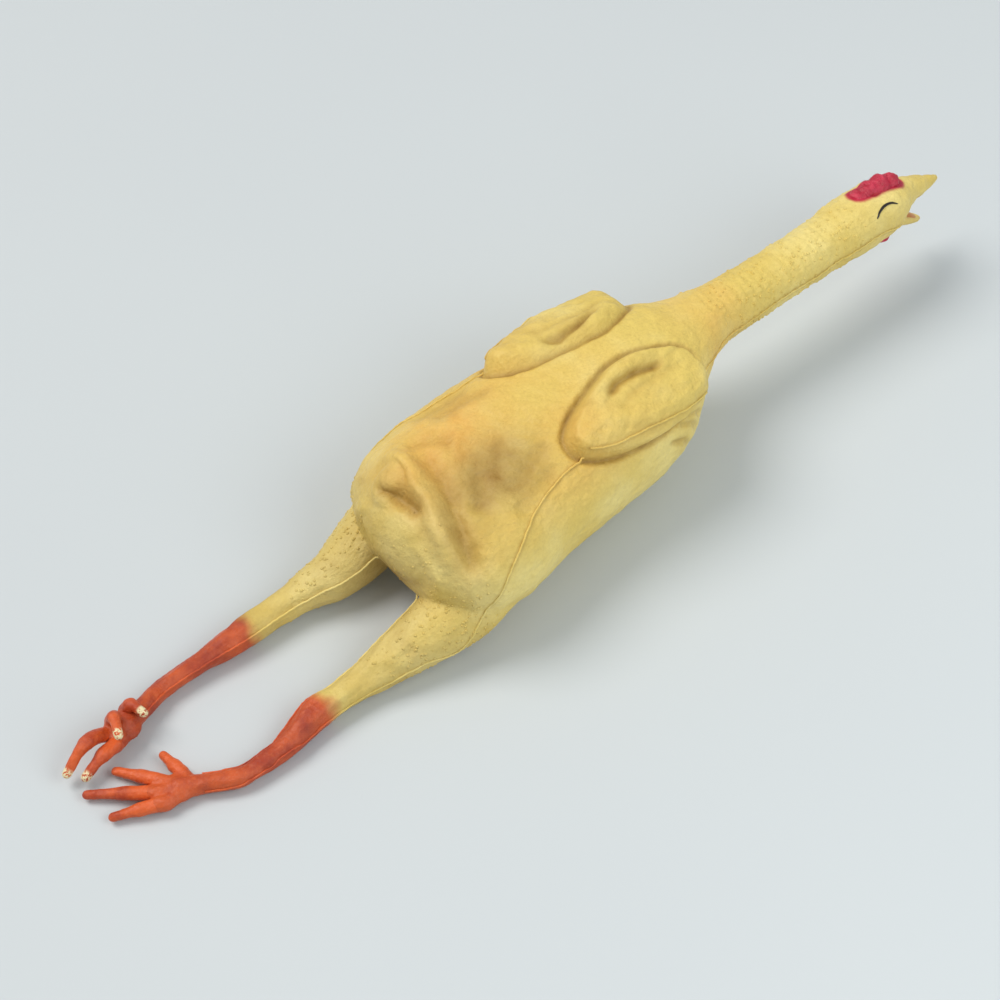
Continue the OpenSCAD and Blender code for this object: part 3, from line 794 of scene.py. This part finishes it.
def combMaterial():
    m, t, shader, at = nodeTree("combPaint")
    patch, fine = noiseNode(t, at, 160, 5, 0.6), noiseNode(t, at, 700, 4, 0.6)
    color = mixColor(t, ramp(t, patch, 0.35, 0.65), srgb(176, 26, 52), srgb(206, 52, 78))
    color = mixColor(t, ramp(t, fine, 0.6, 0.78, 0, 0.5), color, srgb(226, 130, 130))
    color = mixColor(t, ramp(t, fine, 0.25, 0.42, 0.5, 0), color, srgb(112, 14, 30))
    normal = bumpNode(t, fine, 0.0009, 0.7, bumpNode(t, patch, 0.0016, 0.6))
    coat(t, shader, color, ramp(t, patch, 0.2, 0.8, 0.34, 0.52), normal)
    return m


def plainMaterial(name, grain, detail, colors, rough, bump):
    m, t, shader, at = nodeTree(name)
    n = noiseNode(t, at, grain, detail)
    coat(t, shader, mixColor(t, n, *colors), ramp(t, n, 0.2, 0.8, *rough), bumpNode(t, n, *bump))
    return m


latex = latexMaterial()
lashPaint = plainMaterial("lashPaint", 500, 3, (srgb(20, 16, 15), srgb(40, 32, 28)), (0.3, 0.5), (0.0002, 0.4))
combPaint = combMaterial()
beakInside = plainMaterial(
    "beakInside", 240, 4, (srgb(214, 148, 66), srgb(180, 108, 42)), (0.4, 0.6), (0.0005, 0.5))

combShape = {
    # lobes: place from the head's joint, then half sizes
    "lobes": (
        (21, 3.2, 12.0, 5.0, 4.6, 3.0), (26.0, 2.4, 12.9, 5.6, 4.8, 3.6),
        (31.5, 2.0, 12.9, 5.8, 4.7, 4.0), (37.5, 1.2, 11.3, 4.8, 4.1, 3.9),
    ),
    # red paint on the crown and under the chin
    "blush": neck[3] + np.array([(20, 3.6, 12.6), (30, 2, 13.4), (40, 0.8, 10.6)]),
    "chin": neck[3] + np.array([(28, -3, -11), (38, -3, -9)]),
    "voxel": 0.45, "relax": 9,
}
# how far from its tip a toe has lost its paint
bareTip = {"right": 1.6, "left": 3.6}


def paintMarks(mesh):
    # where each colour is sprayed, kept as attributes on the points
    p = pointsOf(mesh)
    x, z = p[:, 0], p[:, 2]
    crown, chin = (farFrom(p, combShape[k])[0] for k in ("blush", "chin"))
    back = smoothstep((z - 40) / 22) * smoothstep((x + 84) / 10) * smoothstep((60 - x) / 60)
    warm = 0.8 * swellAt(p, (-44, 6, 66), (22, 16, 18)) + 0.75 * back * (0.55 + 0.45 * gridNoise(p, 24, 31))
    warm += 0.8 * np.exp(-((x - 96) / 16) ** 2) * (0.6 + 0.4 * gridNoise(p, 12, 32))
    chip = np.zeros(len(p))
    for side in legs:
        for name in toeNames:
            away = np.linalg.norm(p - toePath(side, name)[0][-1], axis=1)
            chip = np.maximum(chip, smoothstep((bareTip[side] - away) / 1.2))
    setMark(mesh, "orange", smoothstep((-134.5 - x + 2.4 * gridNoise(p, 6, 21)) / 14))
    setMark(mesh, "crimson", np.maximum(smoothstep((8.6 - crown) / 5.2), 0.55 * smoothstep((4.5 - chin) / 3)))
    setMark(mesh, "chip", chip)
    setMark(mesh, "warm", warm)


# Geometry Nodes trees
socketKinds = {"Seed": "NodeSocketInt", "Finish": "NodeSocketMaterial"}
partingLine = {
    "Bead radius": 0.46 * mm, "Wobble": 0.22 * mm, "Step": 1.1 * mm, "Seed": 7, "Finish": latex,
}
pimples = {
    "Per square metre": 115000.0, "Smallest": 0.00036, "Largest": 0.00085, "Seed": 4, "Finish": latex,
}


def geometryTree(name, settings):
    t = bpy.data.node_groups.new(name, "GeometryNodeTree")
    t.interface.new_socket("Geometry", in_out="INPUT", socket_type="NodeSocketGeometry")
    ids = {}
    for key in settings:
        kind = socketKinds.get(key, "NodeSocketFloat")
        ids[key] = t.interface.new_socket(key, in_out="INPUT", socket_type=kind).identifier
    t.interface.new_socket("Geometry", in_out="OUTPUT", socket_type="NodeSocketGeometry")
    return t, t.nodes.new("NodeGroupInput"), ids


def wireUp(t, give, last, wires):
    # joins the nodes; what leaves the last one is smoothed, made real and painted
    for a, out, b, into in wires:
        t.links.new(a.outputs[out], b.inputs[into])
    for kind in ("SetShadeSmooth", "RealizeInstances", "SetMaterial"):
        node = t.nodes.new("GeometryNode" + kind)
        t.links.new(last.outputs[0], node.inputs[0])
        last = node
    t.links.new(give.outputs["Finish"], last.inputs["Material"])
    t.links.new(last.outputs[0], t.nodes.new("NodeGroupOutput").inputs["Geometry"])


def runTree(obj, tree, ids, settings):
    m = obj.modifiers.new("make", "NODES")
    m.node_group = tree
    for key, value in settings.items():
        m[ids[key]] = value
    return plainMesh(obj)


def beadTree():
    t, give, ids = geometryTree("partingBead", partingLine)
    new = t.nodes.new
    again, shake = new("GeometryNodeResampleCurve"), new("GeometryNodeSetPosition")
    again.mode = "LENGTH"
    rand, size, centre = new("FunctionNodeRandomValue"), new("ShaderNodeVectorMath"), new("ShaderNodeVectorMath")
    rand.data_type = "FLOAT_VECTOR"
    size.operation = "SCALE"
    centre.operation = "SUBTRACT"
    centre.inputs[1].default_value = (0.5, 0.5, 0.5)
    profile, sweep = new("GeometryNodeCurvePrimitiveCircle"), new("GeometryNodeCurveToMesh")
    profile.inputs["Resolution"].default_value = 7
    sweep.inputs["Fill Caps"].default_value = True
    wireUp(t, give, sweep, (
        (give, "Geometry", again, "Curve"), (give, "Step", again, "Length"), (again, 0, shake, "Geometry"),
        (rand, "Value", centre, 0), (centre, 0, size, 0), (give, "Wobble", size, "Scale"),
        (give, "Seed", rand, "Seed"), (size, 0, shake, "Offset"), (shake, 0, sweep, "Curve"),
        (give, "Bead radius", profile, "Radius"), (profile, "Curve", sweep, "Profile Curve"),
    ))
    return t, ids


def pimpleTree():
    t, give, ids = geometryTree("pimpleField", pimples)
    new = t.nodes.new
    where, many = new("GeometryNodeInputNamedAttribute"), new("ShaderNodeMath")
    where.inputs["Name"].default_value = "plucked"
    many.operation = "MULTIPLY"
    dot, flat = new("GeometryNodeMeshIcoSphere"), new("GeometryNodeTransform")
    dot.inputs["Radius"].default_value = 1.0
    dot.inputs["Subdivisions"].default_value = 1
    flat.inputs["Scale"].default_value = (1, 1, 0.55)
    strew, put = new("GeometryNodeDistributePointsOnFaces"), new("GeometryNodeInstanceOnPoints")
    rand = new("FunctionNodeRandomValue")
    wireUp(t, give, put, (
        (give, "Geometry", strew, "Mesh"), (where, "Attribute", many, 0), (give, "Per square metre", many, 1),
        (many, 0, strew, "Density"), (give, "Seed", strew, "Seed"), (strew, "Points", put, "Points"),
        (strew, "Rotation", put, "Rotation"), (dot, "Mesh", flat, "Geometry"), (flat, 0, put, "Instance"),
        (give, "Smallest", rand, 2), (give, "Largest", rand, 3), (give, "Seed", rand, "Seed"),
        (rand, 1, put, "Scale"),
    ))
    return t, ids


# the parting line: down the flank as (x, turn), under the wing as (x, turn), along the neck from its joints
seamShape = {
    "flank": ((-2, 45), (-12, 45.5), (-20.8, 44), (-34.7, 40), (-44.4, 34), (-53, 25), (-61.4, 12), (-68.2, -6)),
    "wing": ((-2, 46), (8.7, 43), (24, 39), (37.7, 36), (52, 31), (66, 26)),
    "breast": ((72, 2, 27, 50), (82, 2, 19, 47), (92, 2, 15.5, 45)),
    "neck": (
        (0, 4, 14, -1), (1, 0, 12.6, -0.8), (2, 0, 12.6, 0), (3, 0, 13, 0.4), (3, 20, 13.6, 0.5),
        (3, 34, 13, -4), (3, 43, 9, -6.5),
    ),
    "spacing": 1.6,
}


def seamPaths():
    paths = []
    for side, s in (("right", -1), ("left", 1)):
        flank = [onTorso(x, t, s, 1) for x, t in seamShape["flank"]]
        hip, knee, hock, ankle = legs[side]
        sole = ankle + footAxes(side)[0] * 12
        bones = (
            (hip + np.array([14, 0, 4]), 14.5), (hip, 11.6), ((hip + knee) / 2, 9.4), (knee, 7),
            ((knee + hock) / 2, 6.4), (hock, 6.8), (hock * 0.7 + ankle * 0.3, 6), ((hock + ankle) / 2, 5.2),
            (ankle, 4), (sole, 4.4),
        )
        outside, inside = [], []
        for k, (q, r) in enumerate(bones):
            nxt = bones[min(k + 1, len(bones) - 1)][0] - bones[max(k - 1, 0)][0]
            across = unit(np.cross(unit(nxt), [0, 0, 1]))
            across = across * math.copysign(1, across[1] * s)
            outside.append(q + across * r * 0.96 + np.array([0, 0, r * (0.05 if k else -0.2)]))
            inside.append(q - across * r * 0.85 + np.array([0, 0, r * 0.5]))
        throat = [np.array([x, y + s * w, z]) for x, y, w, z in seamShape["breast"]]
        throat += [neck[k] + np.array([x, s * w, z]) for k, x, w, z in seamShape["neck"]]
        paths += [flank + outside, inside, [onTorso(x, t, s, 9) for x, t in seamShape["wing"]], throat]
    return paths


def meshJoin(obj, extra):
    other = link(bpy.data.objects.new("extra", extra))
    with bpy.context.temp_override(active_object=obj, selected_editable_objects=[obj, other], object=obj):
        bpy.ops.object.join()


def addBeads(skin):
    p = pointsOf(skin.data)
    grimeAndShade = readAll(skin.data.attributes["paintedShadeAndGrime"].data, "value", 1)[:, 0]
    surface = BVHTree.FromObject(skin, bpy.context.evaluated_depsgraph_get())
    curve = bpy.data.curves.new("seams", "CURVE")
    curve.dimensions = "3D"
    for path in seamPaths():
        dense = []
        for i in range(len(path) - 1):
            step = seamShape["spacing"] / np.linalg.norm(np.array(path[i + 1]) - path[i])
            dense += [between(path, i, s) for s in np.arange(0, 1, step)]
        on = []
        for q in dense + [path[-1]]:
            spot, normal = surface.find_nearest(Vector(q) * mm)[:2]
            on.append(spot + normal * 0.0001)
        line = np.array(on)[::3] / mm
        # a dark line along each seam is added to the painted shade and grime mark
        close = np.nonzero(((p > line.min(0) - 4) & (p < line.max(0) + 4)).all(1))[0]
        away = farFrom(p[close], line)[0]
        grimeAndShade[close] = np.maximum(grimeAndShade[close], 0.62 * np.exp(-(away / 1.25) ** 2))
        spline = curve.splines.new("POLY")
        spline.points.add(len(on) - 1)
        for k, q in enumerate(on):
            spline.points[k].co = (*q, 1)
    setMark(skin.data, "paintedShadeAndGrime", grimeAndShade)
    seams = link(bpy.data.objects.new("seams", curve))
    bead = runTree(seams, *beadTree(), partingLine)
    bpy.data.objects.remove(seams)
    return bead


def addPimples(skin):
    p = pointsOf(skin.data)
    x, y, z = p.T
    onNeck = smoothstep((x - 92) / 12) * smoothstep((200 - x) / 16) * (0.35 + 0.65 * (gridNoise(p, 6, 41) > -0.1))
    thigh = np.exp(-(np.maximum(0, np.abs(x + 92) - 16) / 9) ** 2) * smoothstep((50 - z) / 16)
    thigh *= smoothstep((np.abs(y + 4) - 16) / 8)
    rump = 0.35 * swellAt(p, (-80, -20, 42), (12, 22, 18))
    setMark(skin.data, "plucked", np.maximum(np.maximum(onNeck, thigh), rump) * (z > 4))
    dots = runTree(skin, *pimpleTree(), pimples)
    skin.data.attributes.remove(skin.data.attributes["plucked"])
    return dots


skin.data.materials.clear()
skin.data.materials.append(latex)
beads = addBeads(skin)
dots = addPimples(skin)
print("seams and pimples:", len(beads.vertices), len(dots.vertices))
for extra in (beads, dots):
    meshJoin(skin, extra)


# the skin is cut where it bends, so that every length crosses one joint
def cutPlanes():
    planes = []
    d = [unit(neck[1] - neck[0]), unit(neck[2] - neck[1]), unit(neck[3] - neck[2])]
    planes.append(("neck", neck[0] - d[0] * 10, d[0], 25))
    for k in range(3):
        planes.append(("neck", (neck[k] + neck[k + 1]) / 2, d[k], 22))
    planes.append(("neck", neck[3] + np.array([12, 0, 0]), np.array([1.0, 0, 0]), 22))
    for side, (hip, knee, hock, ankle) in legs.items():
        a, b, c, foot = unit(knee - hip), unit(hock - knee), unit(ankle - hock), footAxes(side)[0]
        planes.append((side, hip - a * 8.5, a, 18))
        planes.append((side, (hip + knee) / 2, a, 14))
        planes.append((side, (knee + hock) / 2, b, 12))
        planes.append((side, hock * 0.64 + ankle * 0.36, c, 11))
        planes.append((side, ankle + foot * 7, foot, 9))
    return planes


planes = cutPlanes()
# how far from its own line the skin of a limb may be
limbReach = {"neck": 40, "right": 18, "left": 18}
limbPath = {"neck": [neck[0] - np.array([14, 0, 0]), neck[0], neck[3], neck[3] + np.array([70, 0, -4])]}
for side in legs:
    hip, knee, hock, ankle = legs[side]
    limbPath[side] = [hip - unit(knee - hip) * 10, hip, knee, hock, ankle, ankle + footAxes(side)[0] * 34]


def sliceSkin(obj):
    bm = bmesh.new()
    bm.from_mesh(obj.data)
    for _, at, along, reach in planes:
        centre, normal, limit = Vector(at) * mm, Vector(along), (reach * mm) ** 2
        faces = [f for f in bm.faces if (f.verts[0].co - centre).length_squared < limit
                 and abs((f.verts[0].co - centre).dot(normal)) < 0.003]
        geom = set(faces)
        for f in faces:
            geom.update(f.edges)
            geom.update(f.verts)
        bmesh.ops.bisect_plane(bm, geom=list(geom), dist=1e-7, plane_co=centre, plane_no=normal)
    bm.to_mesh(obj.data)
    bm.free()


def regionOf(c):
    # number of cuts passed on the limb that a point belongs to
    region = np.zeros(len(c), int)
    limbs = {k: farFrom(c, path)[0] for k, path in limbPath.items()}
    for number, limb in enumerate(("neck", "right", "left")):
        own = [p for p in planes if p[0] == limb]
        others = np.minimum.reduce([limbs[k] for k in limbs if k != limb])
        going = (limbs[limb] < others) & (limbs[limb] < limbReach[limb])
        passed = np.zeros(len(c), int)
        for _, at, along, _ in own:
            going &= ((c - at) @ along) > 0
            passed += going
        region = np.where(passed > 0, number * 10 + passed, region)
    return region


pieceOf = {0: ("bodySkin", "torso", None, ("torso", "tail", "right_wing", "left_wing"), "latex_yellow")}
neckBodies = ("torso", "neck_lower", "neck_middle", "neck_upper", "head")
for k, name in enumerate(("neckRootSkin", "neckLowerSkin", "neckMiddleSkin", "neckUpperSkin")):
    pieceOf[1 + k] = (name, neckBodies[k], neckBodies[k + 1], (neckBodies[k + 1],) if k < 3 else (), "latex_yellow")
pieceOf[5] = ("headSkin", "head", None, ("head",), "latex_yellow")
for n, side in ((1, "right"), (2, "left")):
    chain = ("torso", side + "_thigh", side + "_shin", side + "_shank", side + "_foot")
    slots = ("latex_yellow", "latex_olive", "paint_orange", "paint_orange")
    for k, name in enumerate(("HipSkin", "KneeSkin", "HockSkin", "AnkleSkin")):
        pieceOf[n * 10 + 1 + k] = (side + name, chain[k], chain[k + 1], (chain[k + 1],) if k < 3 else (), slots[k])
    pieceOf[n * 10 + 5] = (side + "FootSkin", side + "_foot", None, (side + "_foot",), "paint_orange")


def splitSkin(obj):
    mesh = obj.data
    keep = mesh.attributes.new("keepNormal", "FLOAT_VECTOR", "POINT")
    keep.data.foreach_set("vector", readAll(mesh.vertex_normals, "vector").ravel())
    region = regionOf(readAll(mesh.polygons, "center") / mm)
    pieces = {}
    for number in sorted(set(region.tolist())):
        part = mesh.copy()
        bm = bmesh.new()
        bm.from_mesh(part)
        bm.faces.ensure_lookup_table()
        drop = [bm.faces[i] for i in np.nonzero(region != number)[0]]
        bmesh.ops.delete(bm, geom=drop, context="FACES")
        for f in bm.faces:
            f.smooth = True
        rims = [e for e in bm.edges if e.is_boundary]
        filled = bmesh.ops.holes_fill(bm, edges=rims, sides=0)["faces"]
        for f in filled:
            f.smooth = False
        bmesh.ops.triangulate(bm, faces=filled)
        bm.to_mesh(part)
        bm.free()
        loops = readAll(part.loops, "vertex_index", 1, np.int32)[:, 0]
        kept = readAll(part.attributes["keepNormal"].data, "vector")[loops]
        for f in part.polygons:
            if not f.use_smooth:
                kept[f.loop_start:f.loop_start + f.loop_total] = f.normal
        part.attributes.remove(part.attributes["keepNormal"])
        paintMarks(part)
        part.normals_split_custom_set(kept.tolist())
        part.name = pieceOf[number][0]
        part.materials.clear()
        part.materials.append(latex)
        pieces[number] = link(bpy.data.objects.new(part.name, part))
    return pieces


sliceSkin(skin)
pieces = splitSkin(skin)
bpy.data.objects.remove(skin)
print("cut into", {p.name: len(p.data.polygons) for p in pieces.values()})

# every piece on one body rides it; a piece across a bend is only fixed in place, and the CAD parts it stands for
# are hidden
for number, piece in pieces.items():
    _, a, b, stands, slot = pieceOf[number]
    if b is None:
        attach(piece, a)
    else:
        if number < 10:
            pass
        else:
            side = "right" if number < 20 else "left"
            chain, k = legs[side], number % 10 - 1
        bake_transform(piece)
    if stands:
        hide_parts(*stands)


def finishPiece(obj, body, stands, material, marks=False):
    for f in obj.data.polygons:
        f.use_smooth = True
    if marks:
        if "paintedShadeAndGrime" not in obj.data.attributes:
            obj.data.attributes.new("paintedShadeAndGrime", "FLOAT", "POINT")
        paintMarks(obj.data)
    obj.data.materials.clear()
    obj.data.materials.append(material)
    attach(obj, body)
    if stands:
        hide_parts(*stands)


def makeToes():
    for side in legs:
        for name in toeNames:
            path = toePath(side, name)[0][1:]
            radii = []
            for k in range(len(path)):
                t = k / (len(path) - 1)
                swell = sum(rise * math.exp(-((t - at) / wide) ** 2) for rise, at, wide in toeShape["swell"])
                r = toeShape["root"] * (1 - t) + toeShape["tip"] * t + swell * toeShape["swellShare"][side]
                radii.append(r * toeShape["plump"].get(side + name, 1))
            p, faces = tubeAlong(path, radii, toeShape["sides"], toeShape["flat"])
            middle = np.array(path)
            out = p - middle[((p[:, None] - middle) ** 2).sum(2).argmin(1)]
            out /= np.maximum(np.linalg.norm(out, axis=1), 1e-6)[:, None]
            q = p
            for seed, grain, depth in toeShape["wrinkles"]:
                q = q + out * (gridNoise(p, grain, seed) * depth)[:, None]
            toe = meshFrom([(q, faces)], f"{side}{name.capitalize()}Toe")
            finishPiece(toe, f"{side}_{name}_toe", (f"{side}_{name}_toe",), latex, True)


makeToes()
print("toes are made")


def wrinkle(obj, *layers):
    # moves the points in and out: depth, grain and seed of each layer
    p, n = pointsOf(obj.data), normalsOf(obj.data)
    putPoints(obj.data, p + n * sum(depth * gridNoise(p, grain, seed) for depth, grain, seed in layers)[:, None])


def makeComb():
    at = neck[3]
    comb = meshFrom([blob(at + np.array(l[:3]), l[3:], (0, 4, -8)) for l in combShape["lobes"]], "combFlesh")
    remesh(comb, combShape["voxel"], combShape["relax"])
    wrinkle(comb, (0.55, 2.8, 51), (0.3, 1.3, 52))
    finishPiece(comb, "head", ("comb",), combPaint)
    lobes = [blob(at + np.array([29, s * 5.6, -12.4]), (5.0, 3.2, 3.2), (0, 30, 0)) for s in (-1, 1)]
    lobes += [blob(at + np.array([25.0, s * 5.4, -11]), (3.6, 2.8, 2.8)) for s in (-1, 1)]
    lobes.append(blob(at + np.array([29, 0, -12.4]), (4.4, 5, 2.6), (0, 30, 0)))
    wattle = meshFrom(lobes, "chinWattle")
    remesh(wattle, combShape["voxel"], 4)
    wrinkle(wattle, (0.3, 2.2, 53))
    finishPiece(wattle, "head", ("wattle",), combPaint)


makeComb()

beakShape = {
    # along the lower beak, rise, half width, half height
    "lower": (
        (-3, -0.6, 6.2, 4.9), (2, -0.7, 7.0, 5.0), (7, -0.9, 6.6, 4.2), (13, -1.3, 5.4, 3.2),
        (19, -1.5, 4.0, 2.4), (24, -1.4, 2.8, 1.8), (27, -1.2, 1.5, 1.1), (28, -1.1, 0.6, 0.5),
    ),
    "open": 36.0, "voxel": 0.45, "throatVoxel": 0.5,
}


def makeBeak():
    drop = math.radians(beakShape["open"])
    along = np.array([math.cos(drop), 0, -math.sin(drop)])
    up = np.array([math.sin(drop), 0, math.cos(drop)])
    rings = [(jaw + along * a + up * z, along, w, h) for a, z, w, h in beakShape["lower"]]
    lower = meshFrom([loft(rings, 30)], "lowerBeak")
    remesh(lower, beakShape["voxel"], 5)
    p = pointsOf(lower.data)
    a, u = (p - jaw) @ along, (p - jaw) @ up
    # flat top with a scoop for the tongue
    top = np.where(u > 0.6, 0.6 + (u - 0.6) * 0.15, u)
    scoop = 1.9 * np.exp(-((a - 13) / 9) ** 2 - (p[:, 1] / 3.0) ** 2) * smoothstep((u + 0.5) / 1.2)
    p = p + up * (top - u - scoop)[:, None]
    putPoints(lower.data, p)
    finishPiece(lower, "jaw", ("lower_beak",), latex, True)
    tongue = blob(jaw + along * 12.5 + up * -0.35, (10.5, 3.9, 1.1), (0, beakShape["open"], 0))
    lining = meshFrom([tongue], "mouthLining")
    finishPiece(lining, "jaw", (), beakInside)
    throat = meshFrom([blob(jaw + np.array([1.5, 0, -0.5]), (5.6, 5.4, 4.6), (0, 18, 0)),
                       blob(jaw + np.array([13, 0, 1.9]), (11, 3.0, 1.0), (0, 8, 0))], "throatLining")
    remesh(throat, beakShape["throatVoxel"], 4)
    finishPiece(throat, "head", (), beakInside)


makeBeak()

eyeLine = {
    "path": ((18, -10.5, 9), (21.2, -9.2, 10.4), (25.4, -8.3, 11), (29.2, -8.6, 10.4), (32.2, -9.8, 8.6)),
    "thin": 0.26, "thick": 0.66, "drop": {"right": 0, "left": 7.0},
}


def makeEyes():
    head = pieces[5].data
    surface = BVHTree.FromPolygons([v.co for v in head.vertices], [p.vertices for p in head.polygons])
    for side, s in (("right", 1), ("left", -1)):
        path = [neck[3] + np.array([x, y * s, z - eyeLine["drop"][side]]) for x, y, z in eyeLine["path"]]
        dense = [between(path, i, t) for i in range(len(path) - 1) for t in np.linspace(0, 1, 9)[:-1]]
        on = [np.array(surface.find_nearest(Vector(q) * mm)[0]) / mm for q in dense + [path[-1]]]
        rings = []
        n = len(on)
        for k, q in enumerate(on):
            t = k / (n - 1)
            r = eyeLine["thin"] + (eyeLine["thick"] - eyeLine["thin"]) * math.sin(math.pi * min(1, t * 1.05)) ** 0.7
            r *= 1 if 0 < k < n - 1 else 0.4
            rings.append((q, on[min(k + 1, n - 1)] - on[max(k - 1, 0)], r, r))
        lash = meshFrom([loft(rings, 12)], side + "EyeLine")
        finishPiece(lash, "head", (), lashPaint)


makeEyes()
print("head is finished")

floorLook = {"color": srgb(203, 208, 210), "patch": srgb(198, 203, 206), "size": 6.0, "rough": 0.75, "shine": 0.2}


def makeFloor():
    size = floorLook["size"]
    mesh = bpy.data.meshes.new("floor")
    mesh.from_pydata([(-size, -size, 0), (size, -size, 0), (size, size, 0), (-size, size, 0)], [], [(0, 1, 2, 3)])
    obj = link(bpy.data.objects.new("floor", mesh))
    m, t, shader, at = nodeTree("paleFloor")
    share = ramp(t, noiseNode(t, at, 3, 2), 0.3, 0.7, 0, 0.3)
    coat(t, shader, mixColor(t, share, floorLook["color"], floorLook["patch"]), floorLook["rough"])
    shader.inputs["Specular IOR Level"].default_value = floorLook["shine"]
    mesh.materials.append(m)


makeFloor()
print("floor is set")
